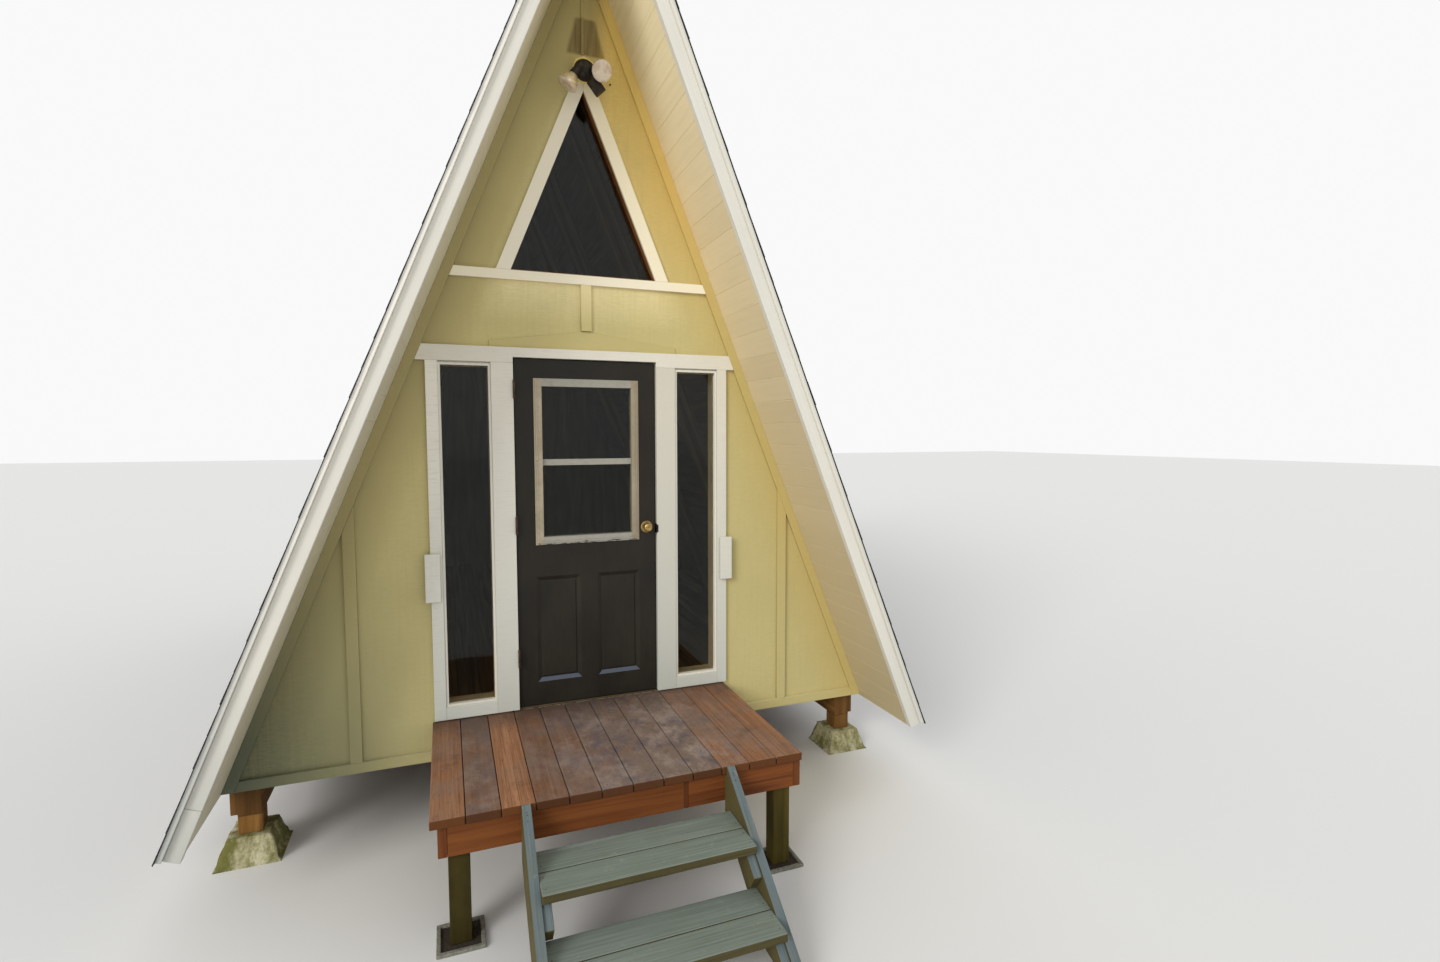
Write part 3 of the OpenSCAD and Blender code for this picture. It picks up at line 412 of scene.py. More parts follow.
def painted_light_and_shade(finish, coat):
    """Painted light and shade: dusky along the slopes and in the left corner, grey-green low down, golden
    high on the right.
    """
    at = finish.axes()
    across = at["X"]
    height = at["Z"]
    # Painted shade: grey-green low on the left side, and dark in its lower corner.
    green_toned = finish.times(finish.level(across, -0.4, -1.9, 0, 0.75), finish.level(height, 2.0, 0.4))
    corner = finish.times(finish.level(across, -1.0, -1.8, 0, 0.85), finish.level(height, 2.0, 0.6))
    golden = finish.times(finish.level(across, -0.1, 0.5, 0, 0.9), finish.level(height, 2.9, 3.7))
    right = finish.level(across, 0.05, 0.15)
    # Painted shade close under the slopes, and painted light on the open gable away from them.
    eave_shade = finish.level(from_roof(finish), 0.29, 0.06, 0, 1)
    clear_of_eaves = finish.level(from_roof(finish), 0.2, 0.36)
    open_wall = finish.times(clear_of_eaves, finish.level(height, 2.8, 3.0, 0, 0.72))
    coat = finish.mix(green_toned, coat, GREEN_SHADE_PAINT)
    coat = finish.mix(open_wall, coat, PAINTED_SUNLIGHT)
    low_right = finish.times(right, finish.level(height, 2.9, 2.5, 0.08, 0.3))
    coat = finish.mix(low_right, coat, RIGHT_SHADE_PAINT)
    coat = finish.mix(golden, coat, GOLDEN_LIGHT_PAINT)
    crown = finish.times(right, finish.level(height, 3.75, 4.3, 0, 0.9))
    coat = finish.mix(crown, coat, CROWN_LIGHT_PAINT)
    coat = finish.mix(finish.times(finish.times(eave_shade, right), 0.35), coat, RIGHT_EAVE_SHADE)
    left_shaded = finish.times(finish.times(1, right, "SUBTRACT"), eave_shade)
    coat = finish.mix(finish.times(left_shaded, 0.55), coat, LEFT_EAVE_SHADE)
    return finish.mix(corner, coat, CORNER_SHADE_PAINT)


def under_door(finish):
    """Dirt and painted shade low down in the middle of both end walls, for what shows between the deck and
    the door.
    """
    at = finish.axes()
    low_down = finish.times(at["Z"], SWEPT_Z, "LESS_THAN")
    before_door = finish.times(finish.times(at["X"], 0, "ABSOLUTE"), DOOR_HALF_W, "LESS_THAN")
    crust = finish.noise(finish.place((30, 30, 30)), 1.0, 4, 0.7)
    dirt_and_shade = finish.level(crust, 0.4, 0.55, 0.95, 0.35)
    return finish.times(finish.times(low_down, before_door), dirt_and_shade)


def painted_siding(name, stained=False):
    finish = Finish(name, roughness=0.72, Specular_IOR_Level=0.3)
    broad = finish.noise(finish.place((0.9, 0.9, 1.4)), 1.0, 3)
    sawn = finish.noise(finish.place((26, 26, 150)), 1.0, 3, 0.6)
    upright = finish.noise(finish.place((70, 70, 5)), 1.0, 3, 0.5)
    coat = finish.ramp(broad, (0.3, SIDING_DARK), (0.7, SIDING_LIGHT))
    coat = painted_light_and_shade(finish, coat)
    coat = finish.dab(coat, SIDING_DUST, sawn, 0.4, 0.7, 0.18)
    coat = finish.dab(coat, SIDING_DUST, upright, 0.45, 0.7, 0.12)
    if stained:
        coat = finish.mix(stain(finish), coat, STAIN_BROWN)
    coat = finish.mix(under_door(finish), coat, DOOR_DIRT_AND_SHADE)
    plywood = finish.ramp(finish.noise(finish.place((9, 9, 1.1)), 1.0, 4, 0.6, 0.8),
                          (0.3, paint(116, 88, 58)), (0.7, paint(150, 120, 82)))
    finish.colour(finish.mix(indoors(finish), coat, plywood))
    finish.relief(sawn, 0.0012, 0.55)
    finish.relief(upright, 0.0006, 0.45)
    return finish


SIDING_DARK = paint(204, 191, 134)
SIDING_LIGHT = paint(214, 201, 142)
SIDING_DUST = paint(176, 164, 112)
# Colours of the painted light and shade on the siding and on the trim that stands on it.
GREEN_SHADE_PAINT = paint(138, 148, 118)
CORNER_SHADE_PAINT = paint(76, 86, 74)
PAINTED_SUNLIGHT = paint(248, 234, 180)
RIGHT_SHADE_PAINT = paint(176, 166, 111)
GOLDEN_LIGHT_PAINT = paint(228, 195, 114)
CROWN_LIGHT_PAINT = paint(255, 224, 132)
RIGHT_EAVE_SHADE = paint(204, 172, 92)
LEFT_EAVE_SHADE = paint(134, 124, 86)
STAIN_BROWN = paint(94, 73, 40)
# Dark colour of the dirt and painted shade in the gap under the door.
DOOR_DIRT_AND_SHADE = paint(58, 49, 40)
siding = painted_siding("khaki_siding")
for node in SLOT_OF:
    if SLOT_OF[node] == "siding" and not node.endswith("_trim"):
        finish_node(node, siding)
finish_node("front_gable_wings", painted_siding("stained_siding", stained=True))

# %% [markdown]
# ## White and cream paint
# The trim boards are painted too. They are rough-sawn like the siding, so fine level lines show under
# the paint of the upright boards, and along the barge boards. One function makes each of these finishes
# from its colour, and takes how much dirt has gathered, a darker colour for the boards' sides, as
# painted shade in the gaps beside them, with a painted highlight on their upper edges, how far the
# tones of the boards differ, and the painted cool shade, with some splashed dirt, on the foot of the
# entry and of the barge boards. Boards on the siding also take its painted light and shade.

# %% Painted boards
PAINTED_CREST_HIGHLIGHT = paint(236, 232, 206)
BOARD_LINES = (1.5, 75, 1)


def foot_shade_and_grime(finish, coat, top, foot, colour, share, right_share=1.0):
    """Painted cool shade, with some splashed dirt, that fades out upwards from the foot, and is less on
    the right.
    """
    at = finish.axes()
    amount = finish.level(at["Z"], top, foot, 0, share)
    amount = finish.times(amount, finish.level(at["X"], -0.05, 0.05, 1, right_share))
    return finish.mix(amount, coat, colour)


def painted_boards(name, light, dark, joint=None, dirt=0.25, lines=(14, 14, 130), on_siding=False,
                   shade_and_grime=None, spread=0.35):
    finish = Finish(name, roughness=0.62, Specular_IOR_Level=0.35)
    coordinates = finish.place(lines) if lines else finish.along_grain(BOARD_LINES)
    streak = finish.noise(coordinates, 1.0, 4, 0.6)
    cloud = finish.noise(finish.place((3, 3, 3)), 1.0, 4, 0.6)
    tone = finish.level(finish.attribute("tone"), 0, 1, 0.0, spread)
    coat = finish.mix(tone, light, dark)
    coat = finish.dab(coat, dark, cloud, 0.45, 0.8, dirt)
    coat = finish.dab(coat, dark, streak, 0.5, 0.75, 0.4)
    # The joint colour darkens the boards' sides as painted shade, and the crest colour lightens their
    # upper edges as a painted highlight.
    if joint:
        coat = finish.mix(finish.times(finish.attribute("edge"), 0.4), coat, joint)
        coat = finish.mix(finish.times(finish.attribute("crest"), 0.6), coat, PAINTED_CREST_HIGHLIGHT)
    if on_siding:
        coat = painted_light_and_shade(finish, coat)
        coat = finish.mix(finish.times(stain(finish), 0.7), coat, STAIN_BROWN)
    if shade_and_grime:
        coat = foot_shade_and_grime(finish, coat, **shade_and_grime)
    finish.colour(coat)
    finish.relief(streak, 0.0009, 0.6)
    return finish


# Painted cool shade, with some splashed dirt, at the foot of the entry and of the barge boards.
ENTRY_SHADE_AND_GRIME = {"top": 2.4, "foot": 0.6, "colour": paint(182, 190, 184), "share": 0.62}
BARGE_SHADE_AND_GRIME = {"top": 1.2, "foot": 0.1, "colour": paint(140, 148, 148), "share": 0.65,
               "right_share": 0.4}
EDGE_SHADE_AND_GRIME = {"top": 2.0, "foot": 0.3, "colour": paint(146, 154, 154), "share": 0.75,
              "right_share": 0.3}
# The white paint's pale end and the whole gable paint are paler and warmer than the paint is, as painted
# light under the roof.
white_paint = painted_boards("white_paint", paint(250, 246, 234), paint(212, 207, 193),
                             joint=paint(170, 162, 138), shade_and_grime=ENTRY_SHADE_AND_GRIME, spread=1.0)
lit_gable_white = painted_boards("lit_gable_paint", paint(255, 246, 218), paint(248, 241, 222),
                             joint=paint(176, 160, 122), spread=1.0)
jamb_paint = painted_boards("jamb_paint", paint(222, 219, 206), paint(204, 200, 185),
                            shade_and_grime=ENTRY_SHADE_AND_GRIME)
cream_paint = painted_boards("cream_paint", paint(229, 226, 215), paint(208, 205, 194), lines=None,
                             shade_and_grime=BARGE_SHADE_AND_GRIME)
# The edge paint is paler than the barge paint, as painted light.
lit_edge_cream = painted_boards("lit_edge_cream_paint", paint(252, 248, 238), paint(214, 211, 200), lines=None,
                            shade_and_grime=EDGE_SHADE_AND_GRIME, spread=1.0)
khaki_trim = painted_boards("khaki_trim_paint", paint(205, 191, 132), paint(192, 178, 119),
                            joint=paint(118, 102, 56), on_siding=True)
box_paint = painted_boards("mounting_box_paint", paint(250, 228, 140), paint(236, 212, 124))

# %% [markdown]
# ## Trim of the walls
# Battens and rake boards stand on the siding in its own colour. Their edges are eased by two
# millimetres, which is what a worn plane or years of paint leave. The tones of the white boards round
# the door and the gable window are set one by one, from left to right, as painted light and shade.

# %% Wall trim and white boards
TRIM_EASE = 0.002
EDGE = {"edge": is_edge, "crest": is_top}
# Tones as painted light: the gable's left legs cooler, its right legs warmer.
GABLE_TONES = [1.0, 1.0, 0.4, 0.4, 0.0, 0.0]
eased("front_wall_trim", "front_battens", khaki_trim, TRIM_EASE, seed=11, marks=EDGE)
eased("rear_wall_trim", "rear_battens", khaki_trim, TRIM_EASE, seed=12, marks=EDGE)
eased("gable_window_casings", "gable_casing_boards", lit_gable_white, TRIM_EASE, seed=13, marks=EDGE,
      tones=GABLE_TONES)
# Tones as painted light and shade: the outer left boards palest, the right mullion darkest, and the left
# block paler than the right.
ENTRY_TONES = [0.0, 0.0, 0.48, 0.55, 0.95, 0.55, 0.6]
eased("entry_casing", "entry_casing_boards", white_paint, TRIM_EASE, seed=14, marks=EDGE,
      tones=ENTRY_TONES)
eased("casing_blocks", "casing_end_blocks", white_paint, 0.003, seed=15, marks=EDGE,
      tones=[0.0, 0.5])
eased("door_frame", "door_jambs", jamb_paint, 0.0015, seed=16)
eased("light_box", "light_mounting_box", box_paint, 0.003, seed=17)

# %% [markdown]
# ## Cutting a solid into lengths
# Where the frame holds several boards as one solid, the boards are cut out of it here: each is a copy
# of the solid, with everything outside two planes cut away and the cuts closed again.

# %% Slice a node
def slice_of(node, normal, start, stop):
    """What lies between two planes that are square to a direction, closed again at its cuts."""
    bm = merged(node)
    for distance, outward in ((start, -1), (stop, 1)):
        geom = list(bm.verts) + list(bm.edges) + list(bm.faces)
        bmesh.ops.bisect_plane(bm, geom=geom, dist=1e-6, plane_co=Vector(normal) * distance,
                               plane_no=Vector(normal) * outward, clear_outer=True)
        open_edges = [e for e in bm.edges if e.is_boundary]
        if open_edges:
            bmesh.ops.holes_fill(bm, edges=open_edges, sides=0)
    return bm


def joined(parts):
    """One bmesh that holds all the parts."""
    whole = bmesh.new()
    for part in parts:
        mesh = bpy.data.meshes.new("part")
        part.to_mesh(mesh)
        part.free()
        whole.from_mesh(mesh)
        bpy.data.meshes.remove(mesh)
    return whole


# %% [markdown]
# ## Barge boards
# The cream boards along the slopes' ends stand in front of the planks, with a slimmer board outside
# them, whose paint is made paler as painted light. They are longer than the timber yard's longest
# board, so on the left a short length is butted on near the foot. The cut is a plane square to the slope.

# %% Barge boards
BUTT_JOINT_DOWN = 4.730
JOINT_GAP = 0.001
FAR = 100.0


def with_butt_joint(node):
    down_left = Vector((-math.cos(PITCH), 0, -math.sin(PITCH)))
    joint = BUTT_JOINT_DOWN - SOFFIT_APEX_Z * math.sin(PITCH)
    return joined([slice_of(node, down_left, -FAR, joint),
                   slice_of(node, down_left, joint + JOINT_GAP, FAR)])


eased("barge_boards", "barge_board_lengths", cream_paint, 0.003, seed=21,
      bm=with_butt_joint("barge_boards"))
# The left trim lengths take the palest tone, as painted light.
eased("barge_trim", "barge_trim_lengths", lit_edge_cream, 0.003, seed=22, tones=[0.0, 0.0, 0.7, 0.7])

# %% [markdown]
# ## Soffit
# The grooved planks run the whole length of the roof, painted tan outdoors and bare indoors. Each
# plank has a tone of its own, but only just. A plank's number is worked out in the material: the
# distance down the slope, divided by the plank's width and rounded down, feeds a white noise. Under
# the ridge the colour is lightened as painted light, towards the eaves it is darkened as painted
# shade, on the left slope it is paler and greyer as painted cool light, and short checks follow the
# grain.

# %% Distance down the slope in a material
def slope_distance(finish):
    """The first of the two slope coordinates, the same on both slopes."""
    at = finish.axes()
    run = finish.times(finish.times(at["X"], 0, "ABSOLUTE"), math.cos(PITCH))
    drop = finish.times(finish.times(SOFFIT_APEX_Z, at["Z"], "SUBTRACT"), math.sin(PITCH))
    return finish.times(run, drop, "ADD")


# %% Soffit planks
soffit = Finish("tan_soffit", roughness=0.68, Specular_IOR_Level=0.3)
distance_down = slope_distance(soffit)
plank_number = soffit.times(soffit.times(distance_down, 1 / PLANK_W), 0.0, "FLOOR")
white_noise = soffit.add("ShaderNodeTexWhiteNoise", {"W": plank_number}, noise_dimensions="1D")
plank_tone = white_noise.outputs["Value"]
grain = soffit.noise(soffit.place((40, 2.2, 40)), 1.0, 4, 0.6)
checks = soffit.noise(soffit.place((70, 2.6, 70)), 1.0, 2, 0.5, 0.4)
coat = soffit.ramp(plank_tone, (0.0, paint(231, 213, 176)), (1.0, paint(238, 221, 185)))
# Painted light under the ridge, and painted shade towards the eaves.
coat = soffit.mix(soffit.level(distance_down, 1.7, 0.4), coat, paint(255, 240, 200))
coat = soffit.dab(coat, paint(170, 156, 119), distance_down, 1.5, 5.2, 0.78)
# Painted cool light on the left slope: paler and greyer.
across = soffit.axes()["X"]
coat = soffit.mix(soffit.level(across, 0.1, -0.1, 0, 0.8), coat, paint(214, 212, 194))
coat = soffit.dab(coat, paint(200, 180, 140), grain, 0.45, 0.75, 0.18)
coat = soffit.dab(coat, paint(140, 116, 80), checks, 0.74, 0.78, 0.25)
bare = soffit.ramp(grain, (0.3, paint(112, 80, 48)), (0.7, paint(146, 110, 70)))
soffit.colour(soffit.mix(indoors(soffit), coat, bare))
soffit.relief(grain, 0.0006, 0.5)
finish_node("roof_planks", soffit)
finish_node("roof_sheathing", soffit)

# %% [markdown]
# ## Bare and stained timber
# Deck, stair, posts and framing are timber that shows its grain. One function makes them all. Broad
# noise, stretched along the board, gives the rings' bands, and fine noise gives pores and splits.

# %% Timber finish
def timber(name, dark, mid, light, worn, roughness=0.7, wear=0.3, rings=26, depth=0.0012):
    """Grained wood, greyed in patches to the colour that is given as worn."""
    finish = Finish(name, roughness=roughness, Specular_IOR_Level=0.15)
    bands = finish.noise(finish.along_grain((0.9, rings, 1)), 1.0, 4, 0.6, 0.6)
    pores = finish.noise(finish.along_grain((4, 240, 1)), 1.0, 3, 0.6)
    patches = finish.noise(finish.place((2.4, 2.4, 2.4)), 1.0, 5, 0.65)
    wood = finish.ramp(bands, (0.28, dark), (0.5, mid), (0.72, light))
    wood = finish.toned(wood, finish.level(finish.attribute("tone"), 0, 1, 0.62, 1.16))
    wood = finish.dab(wood, worn, patches, 0.48, 0.72, wear)
    wood = finish.dab(wood, dark, pores, 0.55, 0.8, 0.45)
    finish.colour(finish.mix(finish.times(finish.attribute("ends"), 0.5), wood, dark))
    finish.relief(bands, depth, 0.5)
    finish.relief(pores, 0.0006, 0.6)
    return finish


rim_redwood = timber("redwood_rim", paint(86, 46, 22), paint(126, 72, 34), paint(148, 90, 46),
                     paint(118, 70, 38), wear=0.3, rings=20)
olive_post = timber("olive_post", paint(51, 43, 13), paint(71, 61, 21), paint(84, 73, 29),
                    paint(92, 82, 40), wear=0.3, rings=14)
brown_post = timber("brown_post", paint(78, 50, 22), paint(128, 90, 44), paint(158, 116, 62),
                    paint(118, 96, 62), wear=0.35, rings=14)
fir = timber("bare_fir", paint(112, 84, 52), paint(146, 114, 76), paint(168, 136, 96),
             paint(134, 112, 84), wear=0.3)
oak = timber("worn_threshold", paint(42, 35, 27), paint(84, 72, 54), paint(146, 132, 106),
             paint(62, 54, 44), wear=0.8)
reveal_wood = timber("brown_reveal", paint(98, 56, 28), paint(140, 88, 50), paint(166, 112, 70),
                     paint(120, 90, 62), wear=0.2)

# %% [markdown]
# ## Deck finish
# The deck boards are redwood that has been walked on. Each board has its own tone and its own share of
# grey wear, which is strongest in the middle, before the door, with pale scuffs and bluish patches on
# top of it. Strong straight grain shows on the fresh boards, and the wear hides it on the old ones. Along
# the wall the boards are darker, partly with dirt that no broom reaches and partly as painted shade.

# %% Worn redwood
DECK_BACK_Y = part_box("deck_boards")[1].y
deck = Finish("redwood_deck", roughness=0.65, Specular_IOR_Level=0.2)
bands = deck.noise(deck.along_grain((1.1, 34, 1)), 1.0, 4, 0.65, 0.9)
lines = deck.noise(deck.along_grain((2.6, 210, 1)), 1.0, 4, 0.65)
stains = deck.noise(deck.place((3.4, 3.4, 3.4)), 1.0, 5, 0.7)
scuffs = deck.noise(deck.place((9, 6, 9)), 1.0, 8, 0.75)
damp = deck.noise(deck.place((7, 5, 7), shift=(3, 7, 0)), 1.0, 7, 0.75)
flecks = deck.noise(deck.place((120, 90, 120)), 1.0, 3, 0.7)
wear = deck.attribute("wear")
wood = deck.ramp(bands, (0.3, paint(130, 87, 61)), (0.5, paint(152, 108, 78)),
                 (0.72, paint(170, 126, 94)))
tone = deck.level(deck.attribute("tone"), 0, 1, 0.5, 1.25)
wood = deck.toned(wood, tone)
wood = deck.dab(wood, paint(74, 46, 31), lines, 0.46, 0.68, 0.55)
spots = deck.noise(deck.along_grain((9, 46, 1)), 1.0, 5, 0.75)
wood = deck.dab(wood, paint(84, 54, 38), spots, 0.55, 0.68, 0.5)
walked = deck.times(stains, deck.times(wear, 0.42), "ADD")
wood = deck.dab(wood, paint(128, 113, 104), walked, 0.5, 0.86, 0.85)
wood = deck.dab(wood, paint(76, 56, 46), damp, 0.54, 0.66, 0.35)
bluish = deck.times(deck.level(damp, 0.5, 0.4, 0, 0.75), wear)
wood = deck.mix(bluish, wood, paint(92, 86, 96))
pale = deck.times(deck.level(scuffs, 0.48, 0.66, 0, 0.62), wear)
wood = deck.mix(pale, wood, paint(178, 161, 152))
wood = deck.dab(wood, paint(176, 158, 140), flecks, 0.68, 0.76, 0.5)
depth = deck.axes()["Y"]
# Darker along the wall: dirt and painted shade.
wall_dirt_and_shade = deck.times(deck.times(stains, 0.25), depth, "ADD")
wood = deck.dab(wood, paint(70, 56, 50), wall_dirt_and_shade, DECK_BACK_Y - 0.18, DECK_BACK_Y + 0.14, 0.75)
end_wood = deck.toned(paint(86, 47, 14), tone)
wood = deck.mix(deck.times(deck.attribute("ends"), 0.95), wood, end_wood)
deck.colour(wood)
deck.relief(bands, 0.001, 0.4)
deck.relief(lines, 0.0006, 0.6)

# %% [markdown]
# ## Stair finish
# The stair is stained olive, darker on the treads. Where rain and sun reach it, on its upper faces, it
# has bleached to a greenish grey with pale rubbed spots, bluer on the stringers. The mark for upper
# faces chooses between the stain and the bleached colour.

# %% Bleached stain
def stair_finish(name, dark, light, stain_dark, stain_light):
    finish = Finish(name, roughness=0.75, Specular_IOR_Level=0.2)
    fibres = finish.noise(finish.along_grain((2.2, 120, 1)), 1.0, 4, 0.65)
    cloud = finish.noise(finish.place((5, 5, 5)), 1.0, 5, 0.65)
    rubbed = finish.noise(finish.place((16, 16, 16)), 1.0, 5, 0.7)
    bleached = finish.ramp(fibres, (0.3, dark), (0.7, light))
    bleached = finish.dab(bleached, paint(116, 120, 98), cloud, 0.45, 0.75, 0.45)
    bleached = finish.dab(bleached, paint(162, 170, 166), rubbed, 0.6, 0.75, 0.5)
    stained = finish.ramp(fibres, (0.3, stain_dark), (0.7, stain_light))
    stained = finish.dab(stained, paint(62, 60, 38), cloud, 0.5, 0.75, 0.5)
    finish.colour(finish.mix(finish.attribute("top"), stained, bleached))
    finish.relief(fibres, 0.001, 0.5)
    return finish


stringer_stain = stair_finish("bleached_stringer", paint(84, 96, 98), paint(112, 124, 128),
                              paint(74, 66, 36), paint(104, 95, 58))
tread_stain = stair_finish("bleached_tread", paint(104, 114, 106), paint(138, 148, 138),
                           paint(62, 56, 33), paint(90, 83, 54))

# %% [markdown]
# ## Deck
# Twelve redwood boards lie side by side. From the left the first is reddish brown, the second dark, the
# third nearly orange, the next two dark again, four are worn grey, and the last three are reddish. The
# two lists follow that order, because the boards are sorted from left to right.

# %% Deck and posts
DECK_TONES = [0.8, 0.32, 0.98, 0.3, 0.4, 0.45, 0.46, 0.54, 0.4, 0.92, 0.74, 0.8]
DECK_WEAR = [0.1, 0.45, 0.0, 0.3, 0.5, 0.8, 0.85, 0.9, 1.0, 0.5, 0.25, 0.15]
RIM_TONES = [0.45, 0.4, 0.4, 0.35, 0.1, 0.8, 0.45]
eased("deck_boards", "deck_board_row", deck, 0.004, 3, seed=31, tones=DECK_TONES,
      marks={"wear": lambda face, number: DECK_WEAR[number]})
eased("deck_frame", "deck_rim_boards", rim_redwood, 0.003, 3, seed=32, tones=RIM_TONES)
eased("deck_posts", "deck_post_pair", olive_post, 0.004, 3, seed=33, tones=[0.0, 1.0])

# %% [markdown]
# ## Stair
# The left stringer's upper end has lost its outer corner, which is rounded here with one wide bevel
# before all the other edges get their small one.

# %% Stair timbers
WORN_CORNER = 0.020
UPPER_END_Z = 0.59
CUT_FOOT_Z = 0.55
CUT_DEPTH = 0.004
LEVEL = 1e-4
TOP = {"top": is_top}
stringers = merged("stair_stringers")
left_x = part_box("stair_stringers")[0].x
cut_y = min(v.co.y for v in stringers.verts if v.co.z > UPPER_END_Z) + CUT_DEPTH
corner = [e for e in stringers.edges
          if all(abs(v.co.x - left_x) < LEVEL and v.co.z > CUT_FOOT_Z and v.co.y > cut_y
                 for v in e.verts)
          and abs(e.verts[0].co.y - e.verts[1].co.y) < LEVEL]
bmesh.ops.bevel(stringers, geom=corner, affect="EDGES", offset=WORN_CORNER, offset_type="OFFSET",
                segments=5, profile=0.5, material=-1)
print("Rounded", len(corner), "corner of the stringers")
eased("stair_stringers", "stringer_pair", stringer_stain, 0.004, 3, seed=34, marks=TOP, bm=stringers)
eased("stair_treads", "tread_boards", tread_stain, 0.005, 3, seed=35, marks=TOP)
eased("stair_cleats", "tread_cleats", stringer_stain, 0.003, 2, seed=36, marks=TOP)

# %% [markdown]
# ## Painted shade in the gaps
# The narrow gaps between boards are filled with dark strips as painted shade, which keeps the pale
# floor from showing through them. Each gap is found by comparing the boxes of neighbouring boards, and
# gets a strip that lies a little under the boards' faces. Its top is uneven: the strip is cut across
# many times, and the points of its top are moved up and down by a noise.

# %% Fill the gaps
GAP_FILL_DOWN = 0.012
GAP_FILL_DEEP = 0.024
NARROW = 0.012
SAME_HEIGHT = 0.001
LONG_EDGE = 0.5
END_GAP = 0.002
GAP_FILL_CUTS = 60
GAP_FILL_UNEVEN = 0.004
GAP_FILL_BUMPS = 30


def board_boxes(node):
    """The lowest and highest corner of each board of a node."""
    bm = merged(node)
    boxes = []
    for group in islands(bm):
        points = [vert.co.copy() for face in group for vert in face.verts]
        low, high = (Vector([pick(p[k] for p in points) for k in range(3)]) for pick in (min, max))
        boxes.append((low, high))
    bm.free()
    return boxes


def gap_strips(node, name, across):
    """Strips between boards that lie side by side along an axis, 0 for X and 1 for Y."""
    along = 1 - across
    strips = []
    boxes = board_boxes(node)
    for low, high in boxes:
        for next_low, next_high in boxes:
            gap = next_low[across] - high[across]
            if not 0 < gap < NARROW or abs(next_high.z - high.z) > SAME_HEIGHT:
                continue
            bm = bmesh.new()
            bmesh.ops.create_cube(bm, size=1)
            long_edges = [e for e in bm.edges
                          if abs((e.verts[0].co - e.verts[1].co)[along]) > LONG_EDGE]
            bmesh.ops.subdivide_edges(bm, edges=long_edges, cuts=GAP_FILL_CUTS)
            size = Vector((0, 0, GAP_FILL_DEEP))
            size[across] = gap
            size[along] = high[along] - low[along] - END_GAP
            middle = (low + high) / 2
            middle[across] = high[across] + gap / 2
            middle.z = high.z - GAP_FILL_DOWN - GAP_FILL_DEEP / 2
            for vert in bm.verts:
                vert.co = Vector([c * length for c, length in zip(vert.co, size)]) + middle
                if vert.co.z > middle.z:
                    vert.co.z += GAP_FILL_UNEVEN * noise.noise(vert.co * GAP_FILL_BUMPS)
            strips.append(bm)
    print(name, "fills", len(strips), "gaps")
    whole = joined(strips)
    lay_grain(whole, 44)
    return piece_of(whole, name, gap_shade)


# A dark fill that stands for the shade in the gaps.
gap_shade = Finish("gap_shade", roughness=0.95, Specular_IOR_Level=0.1)
fill_speckle = gap_shade.noise(gap_shade.place((140, 140, 140)), 1.0, 3, 0.7)
gap_shade.colour(gap_shade.ramp(fill_speckle, (0.35, paint(16, 13, 10)), (0.65, paint(42, 33, 24))))
gap_shade.relief(fill_speckle, 0.002, 0.8)
gap_strips("deck_boards", "deck_gap_shade", 0)
gap_strips("stair_treads", "tread_gap_shade", 1)

# %% [markdown]
# ## Timbers under and inside the cabin
# Posts and girders under the floor are brown and rougher than the deck. Joists, rafters and the frames
# of the windows are bare wood.

# %% Framing
eased("pier_posts", "pier_post_set", brown_post, 0.004, 3, seed=37, upright=True)
eased("girders", "girder_timbers", brown_post, 0.004, 3, seed=38)
eased("floor_joists", "floor_joist_row", fir, 0.002, 2, seed=39)
eased("rafters", "rafter_timbers", fir, 0.003, 2, seed=40)
eased("threshold", "threshold_strip", oak, 0.002, 2, seed=41)
eased("gable_window_frames", "gable_frame_boards", reveal_wood, 0.0015, 2, seed=42)

# %% [markdown]
# ## Floor
# The floor is a layer of boards, and the frame holds the layer as one solid, so it is sliced.

# %% Floor boards
FLOOR_BOARD_W = 0.130
FLOOR_GAP = 0.001
floor_low, floor_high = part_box("floor_boards")
floor_count = math.ceil((floor_high.x - floor_low.x) / FLOOR_BOARD_W)
floor_parts = []
for number in range(floor_count):
    left = floor_low.x + number * FLOOR_BOARD_W
    floor_parts.append(slice_of("floor_boards", (1, 0, 0), left, left + FLOOR_BOARD_W - FLOOR_GAP))
eased("floor_boards", "floor_board_row", fir, 0.001, 1, seed=43, bm=joined(floor_parts))

# %% [markdown]
# ## Shingles
# Each course of asphalt shingles is cut by slots into tabs about 300 mm wide, and every second course
# is shifted by half a tab. The tabs lie on a thin sheet, which is what shows through the slots. A tab
# is a cube that is pulled into a wedge, thick at its lower edge. Small seeded shifts keep the rows
# from looking printed. In the finish, a painted shadow darkens the strip under each butt, the sheet in
# the slots is nearly black as painted shade, and long faint streaks run down the slope.

# %% Shingle finish
shingle = Finish("charcoal_shingle", roughness=0.93, Specular_IOR_Level=0.25)
EXPOSURE = 0.140
LAP = 0.010
eave_down = (SOFFIT_APEX_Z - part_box("roof_planks")[0].z) / math.sin(PITCH)
low_down = eave_down + LAP
granules = shingle.noise(shingle.place((420, 420, 420)), 1.0, 2)
blotch = shingle.noise(shingle.place((2, 2, 2)), 1.0, 5, 0.6)
speck = shingle.times(shingle.times(granules, 0.7), shingle.times(blotch, 0.3), "ADD")
coat = shingle.ramp(speck, (0.3, paint(34, 35, 37)), (0.5, paint(56, 57, 59)), (0.7, paint(92, 92, 92)))
tab_tone = shingle.level(shingle.attribute("tone"), 0, 1, 0.72, 1.15)
coat = shingle.toned(coat, tab_tone)
courses_up = shingle.times(shingle.times(low_down, slope_distance(shingle), "SUBTRACT"), 1 / EXPOSURE)
